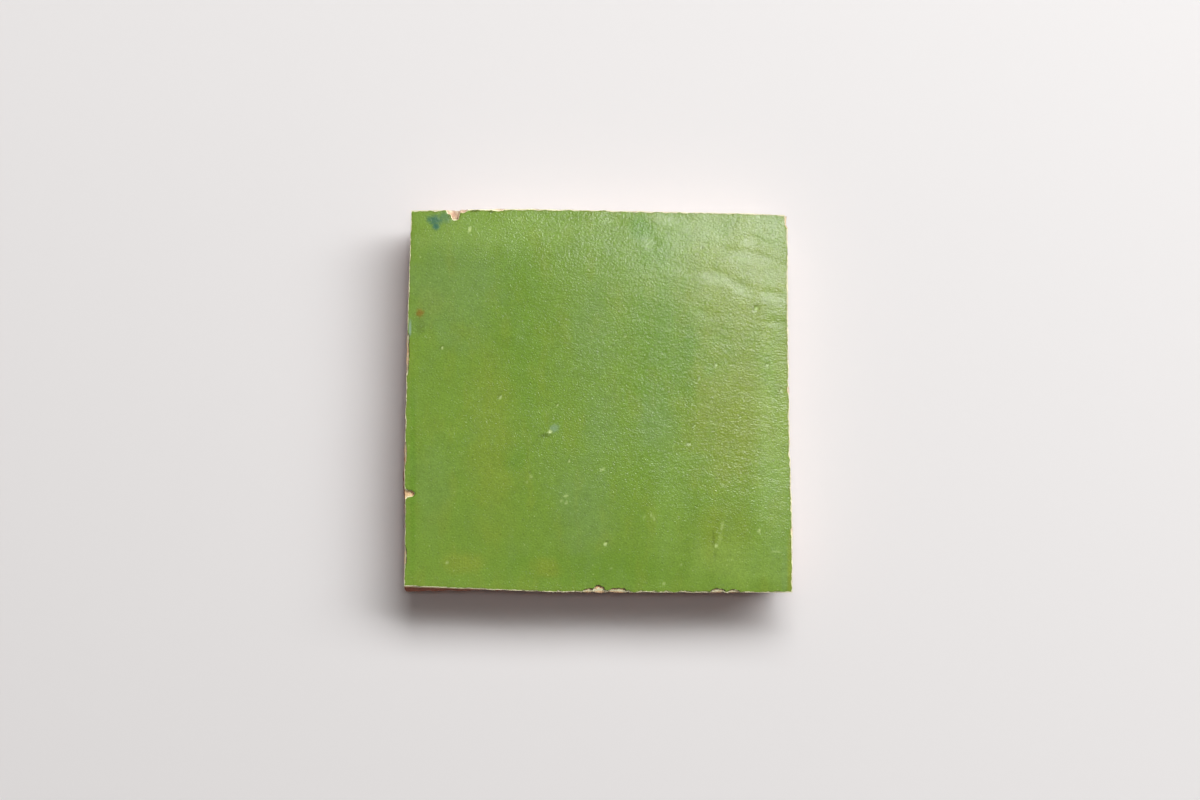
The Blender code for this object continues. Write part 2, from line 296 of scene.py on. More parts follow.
class Side:
    """One cut side in its place, with its hammer strokes. A distance along it is from its start corner."""

    def __init__(self, plan: TilePlan, edge: Edge) -> None:
        """Lays the side between its corners, and draws its strokes' widths, set-backs and leans.

        Args:
            plan: The tile's sizes.
            edge: Which side it is.
        """
        corners = plan.corners()
        self.plan = plan
        self.cut = CUT_SIDES[edge]
        self.start, self.end = corners[edge], corners[(edge + 1) % len(corners)]
        self.length = float(np.linalg.norm(self.end - self.start))
        self.way = (self.end - self.start) / self.length
        self.out = np.array([self.way[1], -self.way[0]])
        random = np.random.default_rng(self.cut.seed)
        count = max(1, round(self.length / plan.bite_width))
        widths = random.uniform(1 - plan.bite_width_spread, 1 + plan.bite_width_spread, count)
        self.bounds = np.concatenate([[0], np.cumsum(widths)]) * self.length / widths.sum()
        self.set_backs = random.uniform(0, plan.bite_set_back, count)
        self.leans = random.uniform(0, plan.bite_lean, count)

    def place(self, place_mm: float) -> float:
        """A table's place along the side, in metres from its start corner."""
        return place_mm * MM if place_mm >= 0 else self.length + place_mm * MM

    def bow(self, along: Array) -> Array:
        """How far out of its chord the arris lies: straight runs between the knees, and a fine ripple.

        Args:
            along: Distances along the side.

        Returns:
            The distance outwards at each. The ripple is the sum of two sines, and it fades out towards the
            corners as half a turn of a sine.
        """
        knees = sorted((self.place(place), out * MM) for place, out in self.cut.knees)
        places, outs = zip((0.0, 0.0), *knees, (self.length, 0.0))
        turns = 2 * math.pi * along / self.plan.ripple_length + self.cut.seed
        ripple = np.sin(turns) + np.sin(self.plan.ripple_overtone * turns)
        fade = np.sin(math.pi * along / self.length)
        return np.interp(along, places, outs) + self.plan.ripple * fade * ripple

    def standing(self, along: Array) -> Array:
        """How much of its lip stands.

        Args:
            along: Distances along the side.

        Returns:
            The share at each, 1 at the lip's middle and falling evenly to 0.
        """
        if self.cut.lip is None:
            return np.zeros_like(along)
        away = np.abs(along - self.place(self.cut.lip.at))
        return np.clip(1 - away / (self.cut.lip.run_out * MM), 0, 1)

    def relief(self, along: Array, depth: Array) -> Array:
        """How far the side stands out of the arris: the lip, less the undercut, the bites and the crumbling.

        Args:
            along: Distances along the side.
            depth: Depths below the glazed face, one for each.

        Returns:
            The distance outwards. A lip is a bell curve over the depth. The undercut is a power of the
            share of the depth below the lip, and each bite is a parabola across its own stroke.
        """
        plan, standing = self.plan, self.standing(along)
        swell = np.exp(-(((depth - plan.lip_depth) / plan.lip_spread) ** 2))
        swell = swell * np.clip(depth / plan.land_depth, 0, 1)
        out = self.cut.lip.out * MM * standing * swell if self.cut.lip else 0.0
        slope_top = plan.land_depth + (plan.lip_depth - plan.land_depth) * standing
        slope = np.clip((depth - slope_top) / (plan.thickness - slope_top), 0, 1) ** plan.undercut_power

        bite = np.clip(np.searchsorted(self.bounds, along, side="right") - 1, 0, len(self.leans) - 1)
        across = 2 * (along - self.bounds[bite]) / (self.bounds[bite + 1] - self.bounds[bite]) - 1
        hollow = plan.bite_hollow * (1 - across**2) + self.set_backs[bite]
        ramp = np.clip((depth - plan.land_depth) / plan.bite_ramp, 0, 1) * (1 - standing)
        foot = (depth - (plan.thickness - plan.back_arris)) / plan.back_arris
        crumble = plan.back_crumble * np.clip(foot, 0, 1)
        return out - (self.cut.undercut * MM + self.leans[bite]) * slope - hollow * ramp - crumble


@dataclass(frozen=True)
class Wave:
    """One slow wave of the glazed face: its height, its length, the way it runs and where it starts."""

    height: float
    length: float
    heading: float
    start: float


WAVES = (
    Wave(height=0.14 * MM, length=104.0 * MM, heading=math.radians(52.6), start=4.56),
    Wave(height=0.10 * MM, length=54.0 * MM, heading=math.radians(77.7), start=4.85),
    Wave(height=0.024 * MM, length=34.0 * MM, heading=math.radians(78.4), start=4.17),
    Wave(height=0.010 * MM, length=18.2 * MM, heading=math.radians(147), start=1.17),
)


@dataclass(frozen=True)
class Chip:
    """One scallop off the arris, in millimetres.

    Attributes:
        edge: The side that it is on.
        along: Its middle's place along the side. If negative, it counts from the side's end.
        length: Its length along the side.
        into: How far it reaches into the glazed face.
        down: How far it reaches down the side.
        corner: Which end of the side it takes off too: 1 the end, -1 the start, 0 neither.
        shaded: How much painted shade its upper wall takes, where that wall turns from the light.
    """

    edge: Edge
    along: float
    length: float
    into: float
    down: float
    corner: int = 0
    shaded: float = 1.0


CHIPS = [Chip(edge, *sizes) for edge, rows in {
    Edge.BACK: ((-11.5, 2.6, 2.9, 1.2), (-10.2, 2, 1.2, 0.9), (-13.3, 2.4, 0.9, 0.8),
                (-22.7, 3.9, 0.6, 0.4)),
    Edge.FRONT: ((48.4, 3, 1, 0.28), (51, 3.3, 1.7, 0.3), (56.2, 5.6, 1, 0.26),
                 (-19.5, 3.6, 0.9, 0.26), (-15.3, 2.8, 0.7, 0.22)),
    Edge.LEFT: ((38, 8.6, 0.5, 0.4), (-34.5, 6, 0.4, 0.35), (-24.2, 2.2, 2.4, 0.5, 0, 0.3),
                (-7.7, 5, 0.5, 0.3)),
    Edge.RIGHT: ((15.9, 2.6, 0.42, 0.3), (-45.7, 2.4, 0.38, 0.3), (-1, 4.8, 0.8, 1.6, 1)),
}.items() for sizes in rows]


@dataclass(frozen=True)
class NickRun:
    """Small nicks too fine for the solid, in millimetres: their side, the run's ends, how many, how deep."""

    edge: Edge
    start: float
    end: float
    count: int
    into: float


NICK_RUNS = [NickRun(edge, *sizes) for edge, rows in {
    Edge.BACK: ((-39, -13, 12, 0.22), (2, -40, 8, 0.1)),
    Edge.FRONT: ((2, 33, 7, 0.16), (33, 74, 20, 0.34), (74, -2, 12, 0.28)),
    Edge.LEFT: ((33, 43, 12, 0.5), (2, 33, 8, 0.1), (43, -2, 13, 0.12)),
    Edge.RIGHT: ((2, 40, 9, 0.3), (40, -4, 9, 0.2)),
}.items() for sizes in rows]


class Tint(Enum):
    """How the glaze of a spot differs from the rest."""

    DEEP = "thick glaze, deeper and more saturated"
    OLIVE = "thin glaze over clay, yellower"
    COOL = "glaze that ran bluish"
    LIGHT = "glaze drawn thin, paler"
    # Painted sheen: paler streaks in the top right of the face, where the glaze reflects the light.
    MILKY_SHEEN = "clouded glaze, paler and greyer"
    TEAL = "a drop of another glaze"
    RUST = "an iron spot"
    SHADE = "a dark place"
    PALE = "a pale fleck"
    BLUISH = "a milky blue place"

    @property
    def layer(self) -> str:
        """What its colour and the mesh attribute with its amount are called."""
        return self.name.lower()


@dataclass(frozen=True)
class Spot:
    """One soft ellipse on the face: a small mark, a broad patch or a hollow.

    Attributes:
        x: Its middle, in millimetres to the right of the middle of the face.
        y: Its middle, in millimetres towards the back.
        half_x: Half its width in millimetres, before it is turned.
        half_y: Half its height in millimetres, before it is turned.
        turn: Its turn, counter-clockwise, in degrees.
        strength: How much of its tint it takes on.
        depth_mm: How deep the surface is dented there.
    """

    x: float
    y: float
    half_x: float
    half_y: float
    turn: float = 0.0
    strength: float = 1.0
    depth_mm: float = 0.0

    def shape(self, places_mm: Array, warp: Array | float = 0.0) -> Array:
        """How strongly it shows at each place.

        Args:
            places_mm: Places on the face, in millimetres from its middle.
            warp: What to add to the scaled distance, so that the outline isn't a plain ellipse.

        Returns:
            From 1 at its middle to 0 outside: e to the power of minus the fourth power of the distance,
            where 1 is the ellipse's own edge.
        """
        cosine, sine = math.cos(math.radians(self.turn)), math.sin(math.radians(self.turn))
        right, up = (places_mm - (self.x, self.y)).T
        along = (right * cosine + up * sine) / self.half_x
        across = (up * cosine - right * sine) / self.half_y
        distance = np.hypot(along, across)
        return np.exp(-(np.clip(distance + warp, 0, None) ** 4))


def spots(*rows: tuple[float, ...]) -> list[Spot]:
    """Spots from rows of their numbers, in the order of a spot's attributes."""
    return [Spot(*row) for row in rows]


def pinhole(x: float, y: float, size: float = 0.34, depth_mm: float = 0.05) -> tuple[Spot, Spot]:
    """A pinhole where a bubble broke: a dent, with a painted glint on its far wall and a ring of painted
    shade round it.

    Args:
        x: Its middle, to the right of the middle of the face, in millimetres.
        y: Its middle, towards the back, in millimetres.
        size: Half its width in millimetres.
        depth_mm: How deep it is.

    Returns:
        The painted glint and the ring of painted shade.
    """
    shift = 0.22 * size
    bright = Spot(x + shift, y - shift, 0.8 * size, 0.65 * size, 40, 0.95, depth_mm)
    return bright, Spot(x - shift, y + shift, 1.6 * size, 1.3 * size, 40, 0.4)


PINHOLES = (
    (-25.7, 1.05, 0.45), (-10.7, -1.05), (-7.66, -15.7, 0.36), (-40.9, 13.9, 0.4), (7, 17),
    (30.8, 9.4, 0.45), (44.2, 9.4, 0.45), (41.3, 24.3, 0.65, 0.09), (47.9, 2.9, 0.4), (37.1, -4.2, 0.36),
    (25.1, -6.5, 0.36), (23.8, -11.3, 0.42), (26.4, 6, 0.32),
)
# Painted glints on the pinholes' far walls, and rings of painted shade round them.
PAINTED_GLINTS, PAINTED_SHADE_RINGS = zip(*(pinhole(*sizes) for sizes in PINHOLES))

MARKS = {
    Tint.TEAL: spots((-42.8, 47.3, 2, 1.35, -6, 0.8), (-42.5, 45.7, 1, 1.05, 0, 0.9),
                     (-40, 48.1, 1.6, 1.6, 20, 0.48)),
    Tint.RUST: spots((-46.7, 23, 1.05, 1.05, 0, 0.85)),
    # Among the dark marks, painted shade: the rings round the pinholes, the notches at the front right arris
    # and the dark sides of pits.
    Tint.SHADE: [*PAINTED_SHADE_RINGS, *spots(
        (-38.7, 48.3, 0.5, 0.45, 0, 0.8), (-32.3, 49.7, 1.3, 0.35, 0, 0.8), (-28, 49.5, 0.9, 0.35, 0, 0.8),
        (44.8, -50.1, 0.5, 0.25, 0, 0.9), (46.7, -50, 0.8, 0.25, 0, 0.9), (49.2, -50.1, 0.7, 0.25, 0, 0.8),
        (-46.6, 19.6, 1.2, 2.6, 0, 0.22), (-13.8, -9, 1.9, 0.5, 4, 0.55), (2.3, -36.9, 0.45, 0.4, 0, 0.6),
        (30.1, -36.4, 0.34, 2.6, 2, 0.35, 0.03), (30.6, -40.2, 0.34, 1.4, 2, 0.35, 0.02),
    )],
    # Among the pale marks, painted glints: the pinholes' far walls and the pale dots of the dented pits, the
    # spots with a depth. The others are pale flecks and scratches.
    Tint.PALE: [*PAINTED_GLINTS, *spots(
        (-12.6, -8.1, 0.48, 0.42, 0, 1.5, 0.05), (-33.6, 44.8, 0.36, 0.85, -18, 0.81),
        (-20.6, 47.6, 0.36, 0.36, 0, 0.43), (1.1, -18, 0.75, 0.3, 22, 0.65),
        (-17.6, -19.9, 0.6, 0.3, -42, 0.47), (-18.7, -21.3, 0.3, 0.45, 0, 0.22),
        (-8.4, -24.9, 0.65, 0.34, 8, 0.61), (-9.7, -26.2, 0.34, 0.4, 0, 0.43),
        (-8.4, -26.8, 0.36, 0.4, 0, 0.5), (12.1, -30.4, 0.24, 0.6, -10, 0.29),
        (14, -30, 0.24, 0.8, 12, 0.5), (14.7, -31, 0.24, 0.6, 12, 0.43),
        (32.4, -32.8, 0.34, 1.3, -8, 0.43), (31.9, -35.8, 0.45, 1.6, -8, 0.18),
        (30.9, -37.9, 0.34, 0.45, 0, 1, 0.04), (42.1, -34, 0.3, 0.62, 0, 0.68),
        (39, -33.8, 0.4, 0.3, 0, 0.25), (46.5, -39.5, 1.5, 0.26, 8, 0.32),
        (1.9, -37.5, 0.36, 0.36, 0, 1.2, 0.03), (-39.6, -42.4, 0.34, 0.4, 0, 0.54),
        (21.7, -42.9, 0.34, 0.36, 0, 0.32), (17.2, -47.9, 0.36, 0.45, 0, 0.47),
        (-36, -14, 0.3, 0.3, 0, 0.22), (3.4, -43.9, 0.34, 0.34, 0, 0.25),
    )],
    Tint.BLUISH: spots((-49.3, 19, 0.35, 2.1, 0, 0.8), (-11.5, -7.2, 1.3, 1, 25, 0.45)),
}

PATCHES = {
    Tint.DEEP: spots(
        (23.1, 13.1, 2.6, 20, 2, 0.75), (15, 38.5, 4.6, 6.5, 10, 0.45), (16.2, -22, 6, 22, 0, 0.15),
        (-21.5, 20, 8, 26, 0, 0.28), (0, -44, 26, 5, 0, 0.35), (11.8, 45.4, 3.6, 3.6, 0, 0.9),
        (-22.3, -15.2, 3.8, 3.3, 0, 0.4), (-48.6, -20, 0.8, 27, 0, 0.6), (17, 14, 8.5, 21, 0, 0.42),
    ),
    Tint.OLIVE: spots(
        (35.8, -4.5, 14, 19, 0, 0.55), (-28, -10, 6, 26, 0, 0.3), (-42.7, 25.7, 3.6, 3.6, 0, 0.45),
        (-34.6, -42.4, 5, 3.2, 0, 0.45), (-13.7, -43.7, 4, 3, 0, 0.45), (33.2, -35.1, 8, 10, 0, 0.3),
        (48, 4, 2.8, 26, 0, 0.5), (37, 30, 15, 20, 0, 0.5), (50.1, -43, 0.7, 9, 0, 0.7),
    ),
    Tint.COOL: spots(
        (-37.5, 31, 14, 16, 0, 0.62), (-2.2, 17.5, 5.5, 12, 0, 0.45), (0.5, -6, 4.5, 10, 0, 0.5),
        (-4, -28.5, 7.5, 13, 0, 0.6), (14.3, -4.5, 4.5, 8, 0, 0.55), (-42.5, -22, 5, 12, 0, 0.35),
        (46.5, -30, 3.5, 14, 0, 0.45), (48.7, -44, 0.8, 8, 0, 0.75),
    ),
    Tint.LIGHT: spots((46, -15, 5, 34, 0, 0.45), (38, -42, 14, 6, 0, 0.4),
                      (-28, 44.5, 20, 5.5, 0, 0.4), (18, -30, 5, 16, 0, 0.25)),
    # Painted sheen: paler streaks in the top right of the face, where the glaze reflects the light.
    Tint.MILKY_SHEEN: spots(
        (39.7, 41.4, 2.4, 1.3, -4, 0.42), (39.7, 37.2, 7.4, 2, -6, 0.36), (30.8, 31.7, 5.4, 1.7, -8, 0.3),
        (37.6, 28.8, 3.6, 1.6, -25, 0.3), (45.7, 26.7, 4.4, 1.8, -8, 0.3), (43.4, 33, 6, 2.2, -8, 0.24),
        (17.4, 47.2, 5.2, 1.5, -15, 0.34), (13, 40.8, 1.7, 2.2, 20, 0.3), (27, 44.6, 9, 4.2, -6, 0.3),
        (43.5, 45.5, 7.5, 3.8, 0, 0.24),
    ),
}

HOLLOWS = [Spot(*ellipse, depth_mm=depth_mm) for *ellipse, depth_mm in (
    (20.4, 48, 5.2, 1.7, -17, 0.041), (13.9, 41.8, 2.2, 1.7, -20, 0.035), (40.2, 42.6, 2.6, 1.3, -4, 0.035),
    (38.4, 38.4, 6.8, 1.5, -6, 0.038), (30.9, 32.9, 4, 1.5, -10, 0.038), (36.6, 30.2, 3.2, 1.4, -24, 0.038),
    (44, 36.4, 4.4, 1.4, -10, 0.032), (45.6, 27.8, 2.8, 1.4, -10, 0.038), (28.8, 22.7, 3, 1.5, -8, 0.027),
    (4.1, 47.4, 3.2, 1.4, -10, 0.035), (46, 20.5, 3, 1.3, -6, 0.024), (24, 34, 2.6, 1.3, -14, 0.024),
)]


@dataclass(frozen=True)
class BakeLayout:
    """Where the tile's parts lie on its unwrapped picture, as shares of its side."""

    margin: float = 0.005
    face_size: float = 0.66
    strip_height: float = 0.075
    back_size: float = 0.32

    def strip_feet(self) -> Array:
        """The lower edge of each side's strip: the strips are stacked above the face."""
        return self.face_size + 2 * self.margin + np.array(Edge) * (self.margin + self.strip_height)


@dataclass
class GlazedTile:
    """The whole tile as one closed surface: the glazed face, four struck sides and the flat back.

    Points are in one array: the face's square grid, then the rings of the sides from the top down, then
    the back's coarser grid. A grid point's number is its row times the points in a row, plus its column.
    """

    plan: TilePlan = TilePlan()
    layout: BakeLayout = BakeLayout()
    face_steps: int = 264
    side_steps: int = 20
    back_steps: int = 66
    noise_seed: int = 7
    edge_shrink: float = 0.70
    edge_reach: float = 4.0
    depth_shrink: float = 0.80
    depth_reach: float = 3.0
    back_inset: float = 0.02
    sharp_angle: float = math.radians(42)

    roll_drop: float = 0.030 * MM
    roll_reach: float = 0.35 * MM
    dimple_height: float = 0.012 * MM
    dimple_cell: Triple = (8.5 * MM, 3.4 * MM, 8.0 * MM)
    dimple_turn: float = math.radians(8)
    peel_height: float = 0.0045 * MM
    peel_cell: float = 1.5 * MM

    nibble_cell: float = 1.3 * MM
    nibble_mean: float = 0.35
    worn_cell: float = 2.3 * MM
    corner_calm: float = 2.0 * MM
    glaze_edge_depth: float = 0.45 * MM
    glaze_edge_end: float = 1.05 * MM
    glaze_edge_mean: float = 0.8
    glaze_edge_spread: float = 0.5
    fracture_height: float = 0.34 * MM
    fracture_cell: float = 3.4 * MM
    fracture_start: float = 0.8 * MM
    fracture_full: float = 2.2 * MM
    fracture_mean: float = 0.4
    shell_share: float = 0.55
    lip_calm: float = 0.75
    back_dent: float = 0.16 * MM
    back_cell: float = 6.0 * MM
    back_flat: float = 0.15

    chip_unevenness: float = 0.20
    chip_cell: float = 1.1 * MM
    chip_reach: float = 2.5
    # Where painted shade goes on the upper walls of front and left chips: on chips that reach further in than
    # wall_least_mm, out to wall_reach past the bowl, fading in over wall_ramp, and on the glaze, full from
    # wall_bare_mm inside its edge.
    wall_least_mm: float = 0.45
    wall_reach: float = 0.4
    wall_ramp: float = 0.3
    wall_bare_mm: float = 0.15
    ledge_power: float = 4.0
    bowl_step: float = 0.001
    nick_seed: int = 19
    nick_length_mm: float = 1.5
    nick_spread: tuple[float, float] = (0.45, 1.25)
    nick_down: float = 0.35
    nick_sink_mm: float = 0.03
    bare_limit_mm: float = 3.0
    patch_unevenness: float = 0.33
    patch_cell: float = 6.0 * MM
    mark_unevenness: float = 0.35
    mark_cell: float = 0.9 * MM

    def __post_init__(self) -> None:
        """Lays the sides and the grid lines, and works out the face's plan and the middles."""
        self.sides = [Side(self.plan, edge) for edge in Edge]
        self.noise = RandomField(self.noise_seed)
        self.shares = graded_shares(self.face_steps, self.edge_shrink, self.edge_reach)
        levels = graded_shares(self.side_steps, self.depth_shrink, self.depth_reach)
        self.depths = levels * self.plan.thickness
        arrises = [self.arris(edge, self.shares) for edge in Edge]
        self.face = stretched_patch(arrises, self.shares, [line[0] for line in arrises])
        self.flat_face = in_space(self.face, 0.0)
        self.face_middle = box_middle(self.face)
        self.middle = box_middle(np.concatenate([
            self.side_points(edge, self.shares, np.full_like(self.shares, depth))
            for edge in Edge for depth in self.depths]))

    def side_points(self, edge: int, share: Array, depth: Array) -> Array:
        """Plan points on one side. Each corner moves by the relief of both of its sides, so they meet.

        Args:
            edge: The side's number.
            share: Shares of the side's length.
            depth: Depths below the glazed face, one for each share.

        Returns:
            The points, one a row: the line between the moved corners, and the side's own relief on it.
        """
        before, side, after = (self.sides[(edge + turn) % len(Edge)] for turn in (-1, 0, 1))
        zero, along = np.zeros_like(depth), share * side.length
        at_start, at_end = side.relief(zero, depth), side.relief(zero + side.length, depth)
        before_end = before.relief(zero + before.length, depth)
        start = side.start + np.outer(at_start, side.out) + np.outer(before_end, before.out)
        end = side.end + np.outer(at_end, side.out) + np.outer(after.relief(zero, depth), after.out)
        own = side.relief(along, depth) - at_start * (1 - share) - at_end * share + side.bow(along)
        return start * (1 - share)[:, None] + end * share[:, None] + np.outer(own, side.out)

    def away_from_corners(self, side: Side, share: Array) -> Array:
        """A smooth step from 0 at a side's corners to 1 a short way from them."""
        return smooth_step(np.minimum(share, 1 - share) * side.length, 0, self.corner_calm)

    def arris(self, edge: int, share: Array) -> Array:
        """Plan points of one arris: the solid's, nibbled inwards by a random relief.

        Args:
            edge: The side's number.
            share: Shares of its length.

        Returns:
            The points, one a row.
        """
        side, base = self.sides[edge], self.side_points(edge, share, np.zeros_like(share))
        rough = self.noise.layered(in_space(base, 0.0), self.nibble_cell, layers=2)
        inwards = side.cut.nibble * MM * (self.nibble_mean + rough) * self.away_from_corners(side, share)
        return base - np.outer(inwards, side.out)

    def face_height(self, plan_points: Array) -> Array:
        """Height of the glazed face as the solid has it.

        Args:
            plan_points: Points in plan, one a row.

        Returns:
            At each point, the thickness plus the slow waves' sines.
        """
        height = np.full(len(plan_points), self.plan.thickness)
        for wave in WAVES:
            run = plan_points[:, 0] * math.cos(wave.heading) + plan_points[:, 1] * math.sin(wave.heading)
            height = height + wave.height * np.sin(2 * math.pi * run / wave.length + wave.start)
        return height

    def side_distances(self) -> Array:
        """How far each point of the face grid is from each side.

        Returns:
            The distances along the grid lines, one row a side.
        """
        across, up = np.meshgrid(self.shares, self.shares)
        shares = np.array([up, 1 - across, 1 - up, across]).reshape(len(Edge), -1)
        return shares * self.plan.front_length

    def glaze_width(self) -> Array:
        """How far each point of the face lies inside the glaze, and less than 0 where it wore off.

        Returns:
            The least distance from a side, after the side's worn line is taken off: its width times 1
            plus a random relief.
        """
        wear = 1 + self.noise.layered(in_space(self.face, 1.0), self.worn_cell, layers=2)
        worn = np.array([cut.worn * MM for cut in CUT_SIDES])
        return (self.side_distances() - np.outer(worn, wear)).min(axis=0)

    def glaze_relief(self) -> Array:
        """The finer relief of the glaze.

        Returns:
            Heights to add: dimples drawn out nearly level, a fine orange peel, a roll down to the arris
            that fades as e to the power of minus distance over reach, and the dents of marks and hollows.
        """
        cosine, sine = math.cos(self.dimple_turn), math.sin(self.dimple_turn)
        turned = self.flat_face @ np.array([[cosine, sine, 0], [-sine, cosine, 0], [0, 0, 1]])
        height = self.dimple_height * self.noise.layered(turned, np.array(self.dimple_cell), layers=2)
        height += self.peel_height * self.noise.height(self.flat_face, self.peel_cell)
        height -= self.roll_drop * np.exp(-self.side_distances().min(axis=0) / self.roll_reach)
        for spot in itertools.chain(*MARKS.values(), HOLLOWS):
            if spot.depth_mm:
                height -= spot.depth_mm * MM * spot.shape(self.places_mm())
        return height

    def places_mm(self) -> Array:
        """The face grid's points in millimetres from the middle of the face."""
        return (self.face - self.face_middle) / MM

    def side_rings(self) -> tuple[Array, Array]:
        """The sides below the arris, ring by ring.

        Returns:
            The points, and the depth of each. Each ring starts at the front left corner. A point is the
            solid's, moved outwards by the glaze's broken edge and the fracture's relief.
        """
        share = np.tile(self.shares[:-1], self.side_steps)
        depth = np.repeat(self.depths[1:], self.face_steps)
        rise = smooth_step(depth, 0, self.glaze_edge_depth)
        fall = smooth_step(depth, self.glaze_edge_depth, self.glaze_edge_end)
        below = smooth_step(depth, self.fracture_start, self.fracture_full)
        keep = 1 - smooth_step(depth, 0, self.fracture_full)
        rings = []
        for edge, side in zip(Edge, self.sides):
            arris = self.arris(edge, share)
            nibbled = arris - self.side_points(edge, share, np.zeros_like(share))
            height = self.face_height(arris) * (1 - depth / self.plan.thickness)
            points = in_space(self.side_points(edge, share, depth), height)

            uneven = self.noise.height(points + self.plan.thickness, 2 * self.nibble_cell)
            uneven = self.glaze_edge_mean + self.glaze_edge_spread * uneven
            flare = side.cut.glaze_edge * MM * uneven * rise * (1 - fall)
            broken = below * (1 - self.lip_calm * side.standing(share * side.length))
            shell = 1 - 2 * np.abs(self.noise.height(points, self.fracture_cell))
            rough = self.shell_share * shell + self.noise.layered(
                points + side.length, self.fracture_cell / 2, layers=3)
            moved = flare + self.fracture_height * broken * (rough - self.fracture_mean)
            moved = moved * self.away_from_corners(side, share)
            points[:, :2] += nibbled * keep[:, None] + np.outer(moved, side.out)
            rings.append(points.reshape(self.side_steps, self.face_steps, 3))
        depths = np.repeat(self.depths[1:], self.face_steps * len(Edge))
        return np.concatenate(rings, axis=1).reshape(-1, 3), depths

    def back(self) -> Array:
        """The back's coarser grid, which stays a little inside the back's outline.

        Returns:
            The points. They lie flat, apart from shallow hollows where the random relief is high.
        """
        shares = self.shares[:: self.face_steps // self.back_steps]
        share = self.back_inset + (1 - 2 * self.back_inset) * shares
        lines, corners = ([self.side_points(edge, at, np.full_like(at, self.plan.thickness)) for edge in Edge]
                          for at in (share, np.zeros(1)))
        plan_points = stretched_patch(lines, share, corners)
        relief = self.noise.layered(in_space(plan_points, 0.0), self.back_cell, layers=2)
        return in_space(plan_points, self.back_dent * np.clip(relief - self.back_flat, 0, 1))

    def small_nicks(self) -> list[Chip]:
        """The runs of small nicks.

        Returns:
            The nicks as chips, at random places and of random sizes.
        """
        random = np.random.default_rng(self.nick_seed)
        nicks = []
        for run in NICK_RUNS:
            side = self.sides[run.edge]
            places = random.uniform(side.place(run.start), side.place(run.end), run.count) / MM
            for place, (long, deep) in zip(places, random.uniform(*self.nick_spread, (run.count, 2))):
                into = run.into * deep
                down = self.nick_down * into + self.nick_sink_mm
                nicks.append(Chip(run.edge, place, self.nick_length_mm * long, into, down))
        return nicks

    def bowl_distance(self, local: Array) -> Array:
        """The n-th root of r^n + z^n, r the distance in plan and z the depth, n the ledge power."""
        power = self.ledge_power
        return (np.hypot(local[:, 0], local[:, 1]) ** power + np.abs(local[:, 2]) ** power) ** (1 / power)

    def cut_chip(self, chip: Chip, points: Array, bare: Array, wall_shade_amount: Array) -> None:
        """Presses one chip into the surface, in place.

        Distances from the chip's middle are divided by its half sizes, so that its shape is a bowl of
        radius 1, made uneven by a random relief, with a flat floor and steep walls. A point inside it
        moves inwards and down, halfway between the two, until it reaches the bowl.

        Args:
            chip: The chip.
            points: The tile's points, one a row.
            bare: How far inside bare clay each point lies, in millimetres, and less than 0 on the glaze.
            wall_shade_amount: How much painted shade each point takes, by a chip whose steep upper wall turns
                from the light.
        """
        side = self.sides[chip.edge]
        middle = self.arris(chip.edge, np.array([side.place(chip.along) / side.length]))
        centre = in_space(middle, self.face_height(middle))[0]
        axes = np.array([[*side.way, 0.0], [*-side.out, 0.0], [0.0, 0.0, -1.0]])
        half_sizes = np.array([chip.length / 2, chip.into, chip.down]) * MM

        near = np.flatnonzero(np.abs(points - centre).max(axis=1) < self.chip_reach * half_sizes.max())
        local = (points[near] - centre) @ axes.T / half_sizes
        distance = self.bowl_distance(local)
        uneven = self.noise.layered(points[near] + centre[::-1], self.chip_cell, layers=2)
        radius = 1 + self.chip_unevenness * uneven

        way = np.array([-chip.corner, 1.0, 1.0])
        way /= np.linalg.norm(way)
        travel, step = np.zeros(len(near)), 2.0
        while step > self.bowl_step:
            further = self.bowl_distance(local + np.outer(travel + step, way)) < radius
            travel += np.where(further & (distance < radius), step, 0)
            step /= 2
        points[near] = (local + np.outer(travel, way)) * half_sizes @ axes + centre

        steepness = np.linalg.norm(local / half_sizes, axis=1) / np.maximum(distance, 1e-6)
        depth_mm = (radius - distance) / np.maximum(steepness, 1 / half_sizes.max()) / MM
        # Painted shade: chips on the front and left, whose upper walls turn from the light, get a dark line
        # along that wall.
        if chip.edge in (Edge.FRONT, Edge.LEFT) and chip.into > self.wall_least_mm:
            by_chip = smooth_step(radius + self.wall_reach - distance, 0, self.wall_ramp)
            by_chip = by_chip * smooth_step(-bare[near], 0, self.wall_bare_mm)
            wall_shade_amount[near] = np.maximum(wall_shade_amount[near], chip.shaded * by_chip)
        bare[near] = np.maximum(bare[near], depth_mm)

    def tints(self) -> dict[str, Array]:
        """How much of each tint shows at each point of the face.

        Returns:
            By layer, the strongest of its spots. A random relief makes the spots' outlines uneven, and
            less so for marks under a millimetre.
        """
        patch_warp = self.patch_unevenness * self.noise.layered(self.flat_face, self.patch_cell, layers=3)
        mark_warp = self.mark_unevenness * self.noise.layered(self.flat_face, self.mark_cell, layers=2)
        places, layers = self.places_mm(), {}
        for tint, patches in PATCHES.items():
            shown = [spot.strength * spot.shape(places, patch_warp) for spot in patches]
            layers[tint.layer] = np.max(shown, axis=0)
        for tint, marks in MARKS.items():
            shown = [spot.strength * spot.shape(places, mark_warp * min(1, spot.half_x, spot.half_y))
                     for spot in marks]
            layers[tint.layer] = np.max(shown, axis=0)
        return layers

